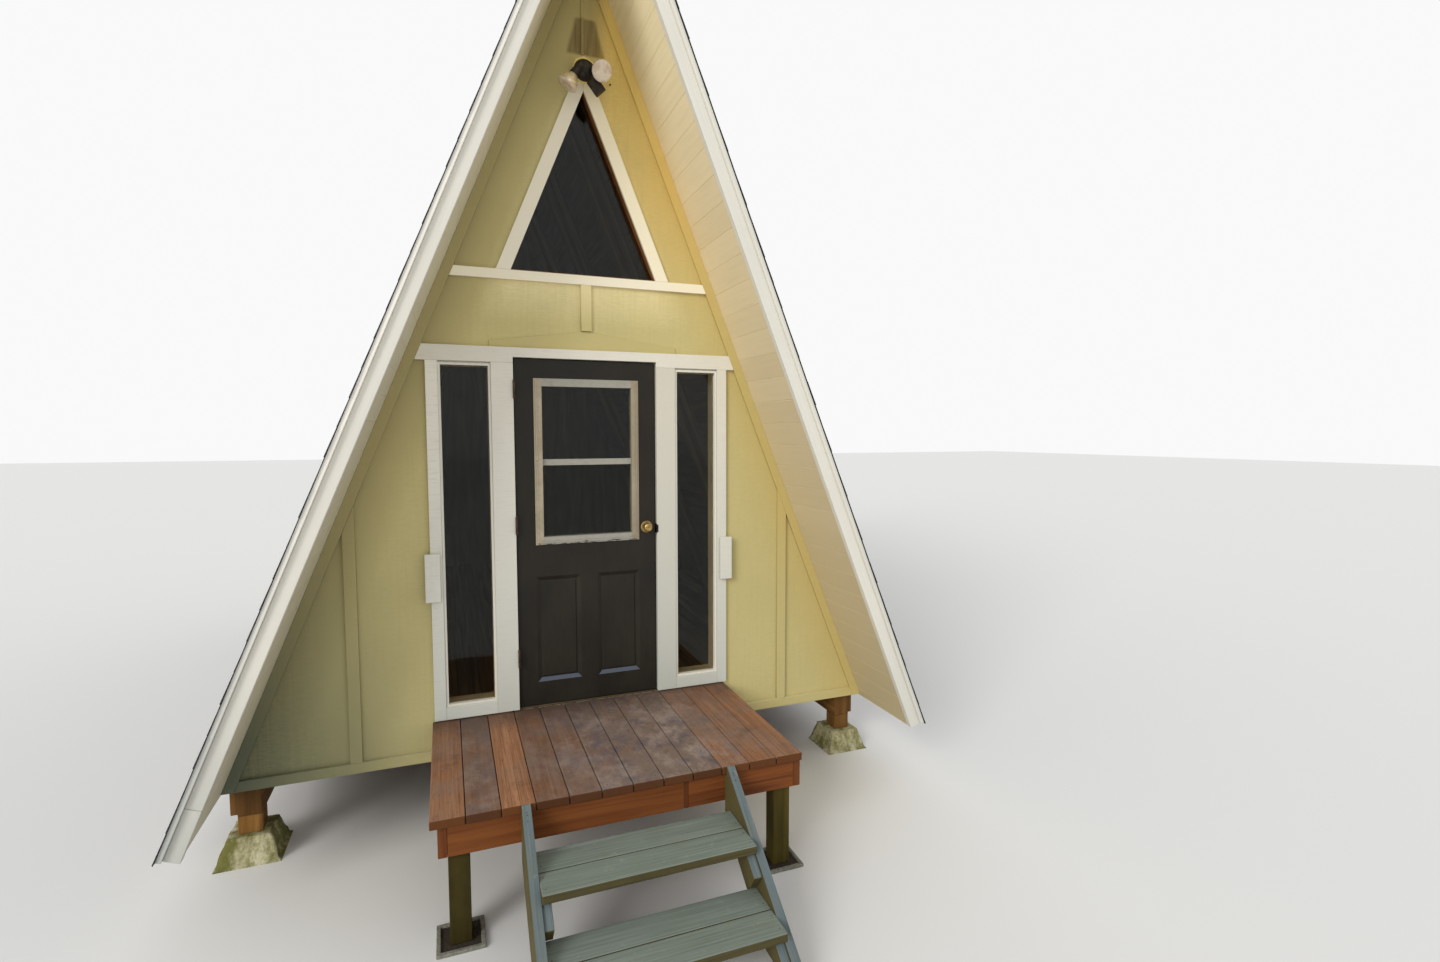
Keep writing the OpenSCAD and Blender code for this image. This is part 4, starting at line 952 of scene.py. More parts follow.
under_butt = shingle.level(shingle.times(courses_up, 0, "FRACT"), 0.82, 0.97, 0, 0.85)
streaky = shingle.noise(shingle.place((1, 7, 0.6)), 1.0, 3)
coat = shingle.dab(coat, paint(70, 72, 66), streaky, 0.5, 0.75, 0.35)
# Painted shadow under each butt, and the sheet in the slots nearly black as painted shade.
coat = shingle.mix(under_butt, coat, paint(14, 14, 15))
shingle.colour(shingle.mix(shingle.times(shingle.attribute("sheet"), 0.9), coat, paint(10, 10, 11)))
shingle.relief(granules, 0.0012, 0.9)

# %% Shingle courses
BUTT = 0.005
HEAD = 0.002
TAB_W = 0.305
SLOT_W = 0.008
NARROWEST_TAB = 0.02
ROW_SHIFT = 0.01
RAGGED = 0.003
LIFT = 0.001
SHEET_T = 0.0015
SHEET_SHORT = 0.001
SHEET_IN = 0.002
RIDGE_GAP = 0.002
CAP_LEG = 0.150
shingle_low, shingle_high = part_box("shingles")
ridge_down = -ROOF_T * math.tan(PITCH)
course_count = math.floor((low_down - ridge_down - CAP_LEG) / EXPOSURE)


def wedge(bm, down, out_low, out_high, y_span, side):
    """A slab on a slope, whose outer face rises from its upper to its lower end."""
    made = bmesh.ops.create_cube(bm, size=1)["verts"]
    for vert in made:
        low_end = vert.co.x > 0
        base = ROOF_T if vert.co.z < 0 else ROOF_T + (out_low if low_end else out_high)
        vert.co = on_slope(down[1] if low_end else down[0], base, y_span[vert.co.y > 0], side)
    faces = {face for vert in made for face in vert.link_faces}
    if side > 0:
        bmesh.ops.reverse_faces(bm, faces=list(faces))
    return made


shingle_mesh = bmesh.new()
chance = random.Random(51)
for side in (-1, 1):
    wedge(shingle_mesh, (ridge_down + SHEET_SHORT, low_down - SHEET_SHORT), SHEET_T, SHEET_T,
          (shingle_low.y + SHEET_IN, shingle_high.y - SHEET_IN), side)
    for course in range(course_count + 2):
        bottom = low_down - course * EXPOSURE
        top = max(bottom - EXPOSURE, ridge_down + RIDGE_GAP)
        if top >= bottom:
            continue
        y = shingle_low.y - (TAB_W / 2 if course % 2 else 0) + chance.uniform(-ROW_SHIFT, ROW_SHIFT)
        while y < shingle_high.y:
            y_start = max(y + SLOT_W, shingle_low.y + chance.uniform(0, RAGGED))
            y_stop = min(y + TAB_W, shingle_high.y - chance.uniform(0, RAGGED))
            if y_stop - y_start > NARROWEST_TAB:
                ragged = chance.uniform(0, RAGGED)
                lift = chance.uniform(0, LIFT)
                wedge(shingle_mesh, (top, bottom - ragged), BUTT - lift, HEAD, (y_start, y_stop), side)
            y += TAB_W
bmesh.ops.recalc_face_normals(shingle_mesh, faces=shingle_mesh.faces)
sheet_mark = {"sheet": lambda face, number: face.calc_area() > TAB_W}
tab_count = lay_grain(shingle_mesh, 52, marks=sheet_mark) - 2
print("The roof has", tab_count, "shingle tabs in", course_count, "courses a side")
piece_of(shingle_mesh, "shingle_tabs", shingle, node="shingles")

# %% [markdown]
# ## Ridge cap
# Bent shingles lie over the ridge, each lapped by the next. A cap piece is two slabs that meet at
# the ridge, and its front end stands a little higher than its rear end, where the next one begins.

# %% Ridge cap pieces
CAP_T = HEAD
CAP_CLEAR = 0.0003
CAP_SLANT = 0.4
CAP_MEET = 0.0002
cap_low, cap_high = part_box("ridge_cap")
cap_under = ROOF_T + BUTT + CAP_CLEAR
cap_mesh = bmesh.new()
cap_count = round((cap_high.y - cap_low.y) / EXPOSURE)
cap_step = (cap_high.y - cap_low.y) / cap_count
for number in range(cap_count):
    y0 = cap_low.y + number * cap_step
    for side in (-1, 1):
        made = bmesh.ops.create_cube(cap_mesh, size=1)["verts"]
        for vert in made:
            front = vert.co.y < 0
            outer = vert.co.z > 0
            out = cap_under + (CAP_T if outer else CAP_T * (CAP_SLANT if front else 0.0))
            out -= 0 if front else CAP_T * CAP_SLANT * outer
            upper = CAP_MEET / math.cos(PITCH) - out * math.tan(PITCH)
            lower = cap_under * -math.tan(PITCH) + CAP_LEG
            y = y0 if front else y0 + cap_step
            vert.co = on_slope(upper if vert.co.x < 0 else lower, out, y, side)
bmesh.ops.recalc_face_normals(cap_mesh, faces=cap_mesh.faces)
lay_grain(cap_mesh, 53)
piece_of(cap_mesh, "ridge_cap_pieces", shingle, node="ridge_cap")
print(cap_count, "cap pieces")

# %% [markdown]
# ## Pier blocks and collars
# The pier blocks are rough cast concrete with moss. Each face is divided finely, and its points move
# inward by a noise, so that the block keeps its place on the ground and stays inside its true size.
# Its top stays flat, because a post stands on it.

# %% Rough concrete
green_toned = Finish("mossy_concrete", roughness=0.95, Specular_IOR_Level=0.15)
grit = green_toned.noise(green_toned.place((60, 60, 60)), 1.0, 4)
growth = green_toned.noise(green_toned.place((7, 7, 3)), 1.0, 6, 0.7)
runs = green_toned.noise(green_toned.place((16, 16, 3)), 1.0, 4, 0.6)
stone = green_toned.ramp(grit, (0.3, paint(142, 136, 100)), (0.7, paint(192, 186, 148)))
stone = green_toned.dab(stone, paint(216, 210, 184), runs, 0.5, 0.66, 0.7)
green_toned.colour(green_toned.mix(green_toned.level(growth, 0.44, 0.56, 0, 0.9), stone, paint(102, 102, 46)))
green_toned.relief(growth, 0.006, 0.5)
green_toned.relief(grit, 0.003, 0.8)


COARSE = 9
FINE = 40
SKIN = 0.001


def roughened(node, name, finish, cuts, depth):
    """A node's solids with an uneven surface, nowhere outside the true one."""
    bm = merged(node)
    top = max(vert.co.z for vert in bm.verts)
    bmesh.ops.triangulate(bm, faces=bm.faces)
    bmesh.ops.subdivide_edges(bm, edges=bm.edges, cuts=cuts, use_grid_fill=True)
    for vert in bm.verts:
        amount = 0.55 + 0.9 * noise.noise(vert.co * COARSE) + 0.45 * noise.noise(vert.co * FINE)
        move = vert.normal * depth * max(0.0, min(1.0, amount))
        if vert.co.z > SKIN:
            down = 0 if vert.co.z > top - SKIN else max(move.z, 0) * 0.4
            vert.co -= Vector((move.x, move.y, down))
    lay_grain(bm, 61)
    return piece_of(bm, name, finish, node=node, smooth=True)


roughened("pier_blocks", "rough_pier_blocks", green_toned, 9, 0.018)

# %% Collars of the deck posts
concrete = Finish("pale_concrete", roughness=0.95, Specular_IOR_Level=0.15)
grit = concrete.noise(concrete.place((90, 90, 90)), 1.0, 5, 0.7)
rim = concrete.ramp(grit, (0.3, paint(100, 99, 88)), (0.7, paint(154, 152, 140)))
soil = concrete.ramp(grit, (0.3, paint(44, 38, 32)), (0.7, paint(78, 70, 60)))
concrete.colour(concrete.mix(concrete.attribute("inside"), rim, soil))
concrete.relief(grit, 0.004, 0.9)

RECESS_Z = 0.012


def is_inside(face, number):
    """The bottom of the recess round a post."""
    return is_top(face, number) and face.calc_center_median().z < RECESS_Z


eased("deck_collars", "rough_deck_collars", concrete, 0.003, 2, seed=62, marks={"inside": is_inside})

# %% [markdown]
# ## Door
# The leaf is nearly black, in satin paint over a faint grain, with a brownish sheen. It gets small
# rounded edges, so that the mouldings of its two panels catch the light in thin lines, and the slopes
# at the foot of the panels, which look up, carry a painted bluish reflection of the sky.

# %% Door leaf
door_paint = Finish("black_door_paint", roughness=0.4, Specular_IOR_Level=0.22)
brushed = door_paint.noise(door_paint.place((160, 20, 5)), 1.0, 3, 0.6)
cloud = door_paint.noise(door_paint.place((4, 4, 2.5)), 1.0, 4, 0.6)
coat = door_paint.ramp(cloud, (0.35, paint(34, 31, 26)), (0.7, paint(45, 41, 33)))
coat = door_paint.dab(coat, paint(28, 26, 22), brushed, 0.45, 0.75, 0.35)
scratches = door_paint.noise(door_paint.place((34, 20, 60)), 1.0, 5, 0.8)
coat = door_paint.dab(coat, paint(88, 84, 76), scratches, 0.72, 0.76, 0.25)
# Painted bluish reflection of the sky on the ledges.
sky_reflection = door_paint.times(door_paint.attribute("ledge"), 0.6)
door_paint.colour(door_paint.mix(sky_reflection, coat, paint(96, 105, 124)))
door_paint.rough(door_paint.level(cloud, 0.3, 0.7, 0.34, 0.5))
door_paint.relief(brushed, 0.0003, 0.5)

LEDGE_TOP = 1.0


def is_ledge(face, number):
    """The mouldings' slopes at the foot of the panels, which look up and get a painted reflection of the
    sky.
    """
    return face.normal.z > 0.3 and face.calc_center_median().z < LEDGE_TOP


eased("door_leaf", "door_slab", door_paint, 0.0012, 2, seed=71, marks={"ledge": is_ledge})

# %% [markdown]
# ## Sash of the door
# The door's window frame has an old grey-beige coat. Along its lower edge the paint has flaked away in
# long chips and shows dark wood. A noise with a hard threshold decides where the paint has gone, and
# its share grows towards the foot of the sash. The rails have gone greyer than the stiles, and the
# right stile is duller than the left one. A moulded bead runs round inside the frame: a flat face is
# inset, its middle is taken out, and the ring that is left is drawn forward and eased. The face stands
# alone, so the inset has to be told to include its open edges, or it leaves no ring at all.

# %% Old sash
flaking = Finish("flaking_sash", roughness=0.7)
sash_low, sash_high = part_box("door_sash")
CHIPPED_H = 0.022
SASH_W = 0.045
at = flaking.axes()
near_foot = flaking.level(at["Z"], sash_low.z + CHIPPED_H, sash_low.z, 0, 0.2)
chips = flaking.noise(flaking.place((26, 40, 90)), 1.0, 5, 0.7)
gone = flaking.level(flaking.times(chips, near_foot, "ADD"), 0.68, 0.7)
film = flaking.ramp(flaking.noise(flaking.place((7, 7, 7)), 1.0, 4),
                    (0.3, paint(162, 150, 127)), (0.7, paint(184, 172, 149)))
beside = flaking.times(at["X"], 0, "ABSOLUTE")
on_stile = flaking.times(beside, sash_high.x - SASH_W, "GREATER_THAN")
film = flaking.mix(flaking.level(on_stile, 0, 1, 0.8, 0), film, paint(157, 158, 150))
dull_side = flaking.times(on_stile, flaking.times(at["X"], 0, "GREATER_THAN"))
film = flaking.mix(flaking.times(dull_side, 0.5), film, paint(136, 124, 102))
dirt = flaking.noise(flaking.place((50, 50, 50)), 1.0, 4, 0.7)
film = flaking.dab(film, paint(138, 124, 100), dirt, 0.5, 0.72, 0.45)
# The sash's sides and undersides are darkened as painted shade.
film = flaking.mix(flaking.times(flaking.attribute("edge"), 0.6), film, paint(104, 90, 68))
flaking.colour(flaking.mix(gone, film, paint(70, 58, 44)))
flaking.relief(flaking.level(gone, 0, 1, 1, 0), 0.0008, 0.8)
eased("door_sash", "door_sash_frame", flaking, 0.0012, 2, seed=72, marks=EDGE)

# %% Bead of the sash
BEAD_INSET = 0.021
BEAD_PROUD = 0.003
BEAD_EASE = 0.001


def flat_ring(low, high, width, depth):
    """A rectangular ring that faces -Y at the depth of its lower corner, drawn forward."""
    bm = bmesh.new()
    middle = ((low.x + high.x) / 2, low.y, (low.z + high.z) / 2)
    size = Matrix.Diagonal(((high.x - low.x) / 2, 1, (high.z - low.z) / 2, 1))
    matrix = Matrix.Translation(middle) @ size @ Matrix.Rotation(math.radians(90), 4, "X")
    bmesh.ops.create_grid(bm, x_segments=1, y_segments=1, size=1, matrix=matrix)
    centre = bm.faces[:]
    bmesh.ops.inset_region(bm, faces=centre, thickness=width, use_even_offset=True,
                           use_boundary=True)
    bmesh.ops.delete(bm, geom=centre, context="FACES")
    drawn = bmesh.ops.extrude_face_region(bm, geom=bm.faces[:])["geom"]
    forward = [item for item in drawn if isinstance(item, bmesh.types.BMVert)]
    bmesh.ops.translate(bm, verts=forward, vec=(0, -depth, 0))
    bmesh.ops.recalc_face_normals(bm, faces=bm.faces)
    round_edges(bm, BEAD_EASE)
    return bm


inset = Vector((BEAD_INSET, 0, BEAD_INSET))
bead_high = Vector((sash_high.x, sash_low.y, sash_high.z)) - inset
bead = flat_ring(sash_low + inset, bead_high, SASH_W - BEAD_INSET, BEAD_PROUD)
lay_grain(bead, 74, marks=EDGE)
print("The bead has", len(bead.faces), "faces")
piece_of(bead, "sash_bead", flaking, body="door")

# %% [markdown]
# ## Sidelight frames
# In front of the glass the sidelights' frames are white, and behind it they are bare brown wood, made
# pale as painted light for the daylight that comes in through the glass. The frame is one solid from
# front to back, so the finish changes colour at the depth of the glass.

# %% Sidelight frames
sidelight = Finish("sidelight_frame", roughness=0.6)
glass_low, glass_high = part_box("sidelight_glass")
glass_y = (glass_low.y + glass_high.y) / 2
depth_at = sidelight.axes()["Y"]
behind = sidelight.times(depth_at, glass_y, "GREATER_THAN")
streak = sidelight.noise(sidelight.along_grain((2, 40, 1)), 1.0, 4)
# Bare wood, made pale as painted light.
bare = sidelight.ramp(streak, (0.3, paint(226, 180, 130)), (0.7, paint(246, 214, 172)))
film = sidelight.ramp(streak, (0.3, paint(222, 218, 205)), (0.7, paint(232, 229, 217)))
sidelight.colour(sidelight.mix(behind, film, bare))
sidelight.relief(streak, 0.0006, 0.5)
eased("sidelight_frames", "sidelight_frame_boards", sidelight, 0.0015, 2, seed=73)

# %% [markdown]
# ## Glass
# The panes are solid sheets, so light is refracted in and out and the dark room behind shows. A
# greenish grey tint and a slightly uneven surface keep them from looking like holes, and a low index
# of refraction keeps the white studio from washing them out.

# %% Panes
glass = Finish("window_glass", roughness=0.01, IOR=1.28, Transmission_Weight=1.0)
smear = glass.noise(glass.place((2, 2, 2)), 1.0, 3)
glass.colour(glass.ramp(smear, (0.3, paint(196, 205, 198)), (0.7, paint(220, 226, 219))))
glass.relief(glass.noise(glass.place((1.2, 1.2, 1.2)), 1.0, 1), 0.002, 0.15)
for node in ("gable_window_glass", "sidelight_glass", "door_glass"):
    finish_node(node, glass)

# %% [markdown]
# ## Metal
# Metal parts take finishes of their own: brass that has dulled in places, brown painted hinges, dark
# screws, and the dark bronze of the light over the window.

# %% Metals
def metal(name, light, dark, roughness, metallic, spread=0.15):
    finish = Finish(name, roughness=roughness, Metallic=metallic)
    tarnish = finish.noise(finish.place((45, 45, 45)), 1.0, 4)
    finish.colour(finish.ramp(tarnish, (0.35, dark), (0.65, light)))
    finish.rough(finish.level(tarnish, 0.3, 0.7, roughness + spread, roughness))
    finish.relief(tarnish, 0.0004, 0.3)
    return finish


brass = metal("dull_brass", paint(206, 178, 116), paint(140, 112, 66), 0.28, 0.9)
hinge_steel = metal("painted_hinge", paint(96, 74, 54), paint(58, 46, 36), 0.5, 0.4)
screw_steel = metal("dark_screw", paint(66, 60, 54), paint(34, 30, 28), 0.5, 0.7)
bronze = metal("dark_bronze", paint(60, 48, 38), paint(30, 25, 20), 0.45, 0.3)
for node in ("hinge_frame_plates", "hinge_leaf_plates"):
    eased(node, node.replace("plates", "halves"), hinge_steel, 0.0005, 1, seed=80)

# %% [markdown]
# ## Turned pieces
# Knobs, bulbs and screws are round, so each starts as a half outline, a row of points that give radius
# and height, and is spun once round the Z axis. A matrix then turns that axis to the direction in which
# the piece looks and carries it to its place.

# %% Spin an outline
def turned(outline, steps=48, unit=0.001):
    """A solid of revolution about Z. The outline starts and ends on the axis, in millimetres."""
    bm = bmesh.new()
    points = [bm.verts.new((radius * unit, 0, height * unit)) for radius, height in outline]
    edges = [bm.edges.new(pair) for pair in zip(points, points[1:])]
    bmesh.ops.spin(bm, geom=points + edges, cent=(0, 0, 0), axis=(0, 0, 1), angle=math.tau,
                   steps=steps, use_merge=True)
    bmesh.ops.remove_doubles(bm, verts=bm.verts, dist=1e-6)
    bmesh.ops.recalc_face_normals(bm, faces=bm.faces)
    return bm


def aim(place, direction, spin=0.0):
    """The matrix that turns +Z to a direction and then moves a piece to its place."""
    ahead = Vector(direction).normalized()
    turn = Matrix.Rotation(math.atan2(ahead.y, ahead.x), 4, "Z")
    turn = turn @ Matrix.Rotation(math.acos(ahead.z), 4, "Y") @ Matrix.Rotation(spin, 4, "Z")
    return Matrix.Translation(place) @ turn


def placed(bm, matrix):
    bmesh.ops.transform(bm, matrix=matrix, verts=bm.verts)
    return bm


def box(size, ease, segments=2):
    """A block about the origin with rounded edges."""
    bm = bmesh.new()
    bmesh.ops.create_cube(bm, size=1, matrix=Matrix.Diagonal((*size, 1)))
    round_edges(bm, ease, segments)
    return bm


def box_at(place, size, ease, segments=2):
    return placed(box(size, ease, segments), Matrix.Translation(place))


# %% [markdown]
# ## Knob and latch
# The knob is a flattened ball on a rose with a rolled edge, and its face holds a round lock with a
# keyhole. There is one on each side of the leaf. The latch plate sits in the leaf's free edge, and the
# strike plate on the jamb, with a lip that shows beside the door.

# %% Door knobs
KNOB_OUTLINE = [(0, 0), (35.9, 0), (35.9, 1.6), (34.4, 3.6), (31, 4.4), (29.6, 6.2), (22, 6.9), (14, 7.4),
                (11, 9.5), (10.6, 18), (12, 20.8), (18, 21.3), (23, 24), (25.8, 28.5), (26.9, 34),
                (26.7, 39), (25, 44.5), (22.2, 48.4), (18.6, 50.4), (14.4, 50.9), (13, 49.6), (11.6, 49.6),
                (10.6, 50.6), (0, 50.9)]
knob_low, knob_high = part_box("door_knobs")
knob_x = (knob_low.x + knob_high.x) / 2
knob_z = (knob_low.z + knob_high.z) / 2
leaf_low, leaf_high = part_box("door_leaf")
outer_knob = placed(turned(KNOB_OUTLINE), aim((knob_x, leaf_low.y, knob_z), (0, -1, 0)))
inner_knob = placed(turned(KNOB_OUTLINE), aim((knob_x, leaf_high.y, knob_z), (0, 1, 0)))
knobs = joined([outer_knob, inner_knob])
print("The knobs have", len(knobs.faces), "faces")
piece_of(knobs, "door_knob_pair", brass, node="door_knobs", smooth=True)

# %% Keyhole
KEY_SLOT = (0.0022, 0.0008, 0.009)
KEY_ROUND = [(0, 0), (3.2, 0), (3.2, 0.6), (0, 0.6)]
round_place = (knob_x, knob_low.y + 0.0002, knob_z + 0.003)
keyhole = joined([box_at((knob_x, knob_low.y, knob_z), KEY_SLOT, 0.0002, 1),
                  placed(turned(KEY_ROUND, 16), aim(round_place, (0, -1, 0)))])
piece_of(keyhole, "knob_keyhole", screw_steel, body="door")

# %% Latch and strike
LATCH_T = 0.0012
LATCH_H = 0.057
BOLT_SIZE = (0.008, 0.012, 0.014)
STRIKE_SIZE = (0.0014, 0.052, LATCH_H)
LIP_SIZE = (0.009, 0.0014, LATCH_H * 0.8)
METAL_EASE = 0.0005
mid_leaf_y = (leaf_low.y + leaf_high.y) / 2
plate_place = (leaf_high.x + LATCH_T / 2, mid_leaf_y, knob_z)
bolt_place = (leaf_high.x + 0.001, mid_leaf_y, knob_z)
latch_plate = box_at(plate_place, (LATCH_T, 0.025, LATCH_H), METAL_EASE)
latch_bolt = box_at(bolt_place, BOLT_SIZE, 0.002)
piece_of(joined([latch_plate, latch_bolt]), "door_latch", brass, body="door")
JAMB_X = 0.4114
strike_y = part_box("entry_casing")[0].y
strike_z = knob_z - 0.012
strike_place = (JAMB_X - 0.0008, strike_y + 0.0255, strike_z)
lip_place = (JAMB_X + 0.003, strike_y - 0.0008, strike_z)
strike = box_at(strike_place, STRIKE_SIZE, METAL_EASE)
lip = box_at(lip_place, LIP_SIZE, METAL_EASE)
piece_of(joined([strike, lip]), "strike_plate", screw_steel)

# %% [markdown]
# ## Light over the gable window
# A round canopy carries two floodlight bulbs and a motion sensor, each on a jointed arm. Every part
# is turned or boxed about its own axis first and then aimed, so that its outline stays easy to read.
# The bulbs' lenses and their silvered backs are separate pieces, because their finishes differ.

# %% Canopy
canopy_low, canopy_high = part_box("light_canopy")
canopy_z = (canopy_low.z + canopy_high.z) / 2
light_middle = Vector((0, canopy_low.y, canopy_z))
CANOPY_OUTLINE = [(0, 0), (60, 0), (60, 3), (58.6, 4.6), (58.6, 9), (56, 12), (51.8, 14), (50.5, 19),
                  (46, 23), (38, 24.6), (12, 25), (11, 24), (9, 24), (8, 24.9), (0, 25)]
canopy = placed(turned(CANOPY_OUTLINE, 64), aim((0, canopy_high.y, canopy_z), (0, -1, 0)))
piece_of(canopy, "canopy_shell", bronze, node="light_canopy", smooth=True)

# %% Bulbs
LENS_PLACES = [Vector((0.064, -0.145, -0.069)), Vector((-0.119, -0.060, -0.141))]
LENS_AIMS = [Vector((0.14, -0.87, -0.47)), Vector((-0.55, 0.1, -0.83))]
BULB_LEN = 0.112
LENS_OUTLINE = [(0, -0.3), (24, -0.8), (40, -1.7), (47, -2.8), (48.5, -4.2), (50.5, -4.4), (53, -5.6),
                (54.6, -8), (54.8, -12), (54, -14), (50, -14.5), (0, -14.5)]
BACK_OUTLINE = [(0, -14.6), (52, -14.6), (53.4, -16), (52.4, -24), (49, -36), (43.5, -49), (36, -61),
                (27, -73), (20, -81.5), (17.2, -90), (15.8, -112), (0, -112)]
bulb_spots = [aim(light_middle + at, along) for at, along in zip(LENS_PLACES, LENS_AIMS)]
lenses = joined([placed(turned(LENS_OUTLINE, 64), spot) for spot in bulb_spots])
backs = joined([placed(turned(BACK_OUTLINE, 64), spot) for spot in bulb_spots])

lens_glass = Finish("frosted_lens", roughness=0.22, Coat_Weight=0.5)
facets = lens_glass.add("ShaderNodeTexVoronoi", {"Vector": lens_glass.place((105, 105, 105))})
haze = lens_glass.noise(lens_glass.place((24, 24, 24)), 1.0, 3)
lens_coat = lens_glass.ramp(facets.outputs["Distance"], (0.1, paint(252, 242, 224)),
                            (0.8, paint(234, 216, 194)))
lens_glass.colour(lens_glass.dab(lens_coat, paint(214, 176, 150), haze, 0.47, 0.6, 0.6))
lens_glass.relief(facets.outputs["Distance"], 0.003, 0.7)
piece_of(lenses, "bulb_lenses", lens_glass, node="flood_bulbs", smooth=True)

silvered = Finish("silvered_back", roughness=0.3, Metallic=0.35, Coat_Weight=0.4)
silver_haze = silvered.noise(silvered.place((26, 26, 60)), 1.0, 4, 0.6, 1.0)
silvered.colour(silvered.ramp(silver_haze, (0.3, paint(192, 170, 130)), (0.55, paint(230, 212, 174)),
                              (0.75, paint(250, 240, 214))))
silvered.relief(silver_haze, 0.0008, 0.3)
piece_of(backs, "bulb_backs", silvered, smooth=True)

# %% [markdown]
# Each holder is a bell with cooling rings. Its arm has a joint halfway: two discs that a wing nut
# clamps together.

# %% Lamp holders and arms
HOLDER_BACK = 0.032
HOLDER_OUTLINE = [(0, 0), (15, 0), (20, 1.6), (22, 5), (22.6, 17), (21.2, 18.6), (21.2, 21), (23, 22.4),
                  (23.8, 33), (22.4, 34.6), (22.4, 37), (24.4, 38.6), (25.6, 56), (27, 62), (27, 66),
                  (24.6, 66), (23, 52), (20.5, 36), (0, 36)]
DISC_OUTLINE = [(0, -7), (11, -7), (13, -5.6), (13, -0.6), (12, 0), (13, 0.6), (13, 5.6), (11, 7),
                (0, 7)]
NUT_OUTLINE = [(0, 0), (5, 0), (5, 3), (3.6, 7), (3.6, 11), (0, 11)]
WING_SIZE = (0.014, 0.0026, 0.010)
WING_EASE = 0.0012
WING_SLANT = 0.5
WING_OUT = 0.008
WING_UP = 0.010
NUT_SPIN = 0.6
NUT_OUT = 0.0068
ARM_R = 7.5
ARM_ROOT = 0.5
ARM_JOINT = 0.55
ARM_IN = 0.004


def bar(start, stop, radius):
    """A round bar between two points, with eased ends."""
    length = (stop - start).length * 1000
    outline = [(0, 0), (radius - 1, 0), (radius, 1), (radius, length - 1), (radius - 1, length),
               (0, length)]
    return placed(turned(outline, 24), aim(start, stop - start))


def wing_nut(at, axis):
    """A hub with two flat wings that stand off at a slant."""
    parts = [turned(NUT_OUTLINE, 20)]
    for side in (-1, 1):
        slant = Matrix.Rotation(-side * WING_SLANT, 4, "Y")
        root = Matrix.Translation((side * WING_OUT, 0, WING_UP))
        parts.append(placed(box(WING_SIZE, WING_EASE), root @ slant))
    return placed(joined(parts), aim(at, axis, NUT_SPIN))


holder_parts = []
for at, along in zip(LENS_PLACES, LENS_AIMS):
    ahead = along.normalized()
    rear = light_middle + at - ahead * (BULB_LEN + HOLDER_BACK)
    root = Vector((rear.x * ARM_ROOT, light_middle.y, canopy_z + (rear.z - canopy_z) * ARM_ROOT))
    joint = root.lerp(rear, ARM_JOINT)
    hinge_axis = (rear - root).cross(Vector((0, 0, 1))).normalized()
    holder_parts.append(placed(turned(HOLDER_OUTLINE, 48), aim(rear, ahead)))
    holder_parts.append(bar(root, rear + ahead * ARM_IN, ARM_R))
    holder_parts.append(placed(turned(DISC_OUTLINE, 32), aim(joint, hinge_axis)))
    holder_parts.append(wing_nut(joint + hinge_axis * NUT_OUT, hinge_axis))
holders = joined(holder_parts)
print("Holders and arms have", len(holders.faces), "faces")
piece_of(holders, "lamp_holder_pair", bronze, node="lamp_holders", smooth=True)

# %% Motion sensor
SENSOR_PLACE = Vector((0.050, -0.044, -0.106))
SENSOR_AIM = Vector((-0.58, 0.14, 0.8))
SENSOR_SPIN = math.radians(166)
SENSOR_ROOT = Vector((0.010, -0.004, -0.032))
SENSOR_SIZE = (0.066, 0.050, 0.080)
WINDOW_LEAST = 0.002
WINDOW_RIM = 0.005
WINDOW_STEP = 0.0015
WINDOW_DEEP = 0.0025
TOWARD_PATH = Vector((-0.2, -0.8, -0.6))
sensor_spot = aim(light_middle + SENSOR_PLACE, SENSOR_AIM, SENSOR_SPIN)
sensor_box = placed(box(SENSOR_SIZE, 0.006, 3), sensor_spot)


def looks_at_path(face):
    """How squarely a broad face looks down at the path, and nought for a narrow one."""
    return (round(face.calc_area(), 5) > WINDOW_LEAST) * face.normal.dot(TOWARD_PATH)


window = max(sensor_box.faces, key=looks_at_path)
bmesh.ops.inset_region(sensor_box, faces=[window], thickness=WINDOW_RIM, depth=0)
bmesh.ops.inset_region(sensor_box, faces=[window], thickness=WINDOW_STEP, depth=-WINDOW_DEEP)
sensor_root = light_middle + SENSOR_ROOT + Vector((0, 0.004, 0))
sensor = joined([sensor_box, bar(sensor_root, light_middle + SENSOR_PLACE, 8)])
piece_of(sensor, "sensor_head", bronze, node="motion_sensor", smooth=True)

# %% [markdown]
# ## Screws
# Screws hold the deck boards on the rims and on the joist between them, the treads on their cleats, and
# the stringers against the rim. A head is a low disc with a sunk middle, a fraction of a millimetre
# proud, and all the heads of one timber job are one joined mesh.

# %% Screw heads
SCREW_OUTLINE = [(0, 0.05), (1.2, 0.05), (1.6, 0.4), (2.9, 0.45), (3.3, 0.2), (3.4, -0.5), (0, -0.5)]
weathered_steel = metal("weathered_screw", paint(104, 90, 76), paint(66, 54, 44), 0.6, 0.3)


def screw_heads(name, spots):
    """Screw heads at pairs of a place and the direction in which each head looks."""
    heads = joined([placed(turned(SCREW_OUTLINE, 12), aim(place, normal)) for place, normal in spots])
    print(name, "holds", len(spots), "screws")
    return piece_of(heads, name, weathered_steel)


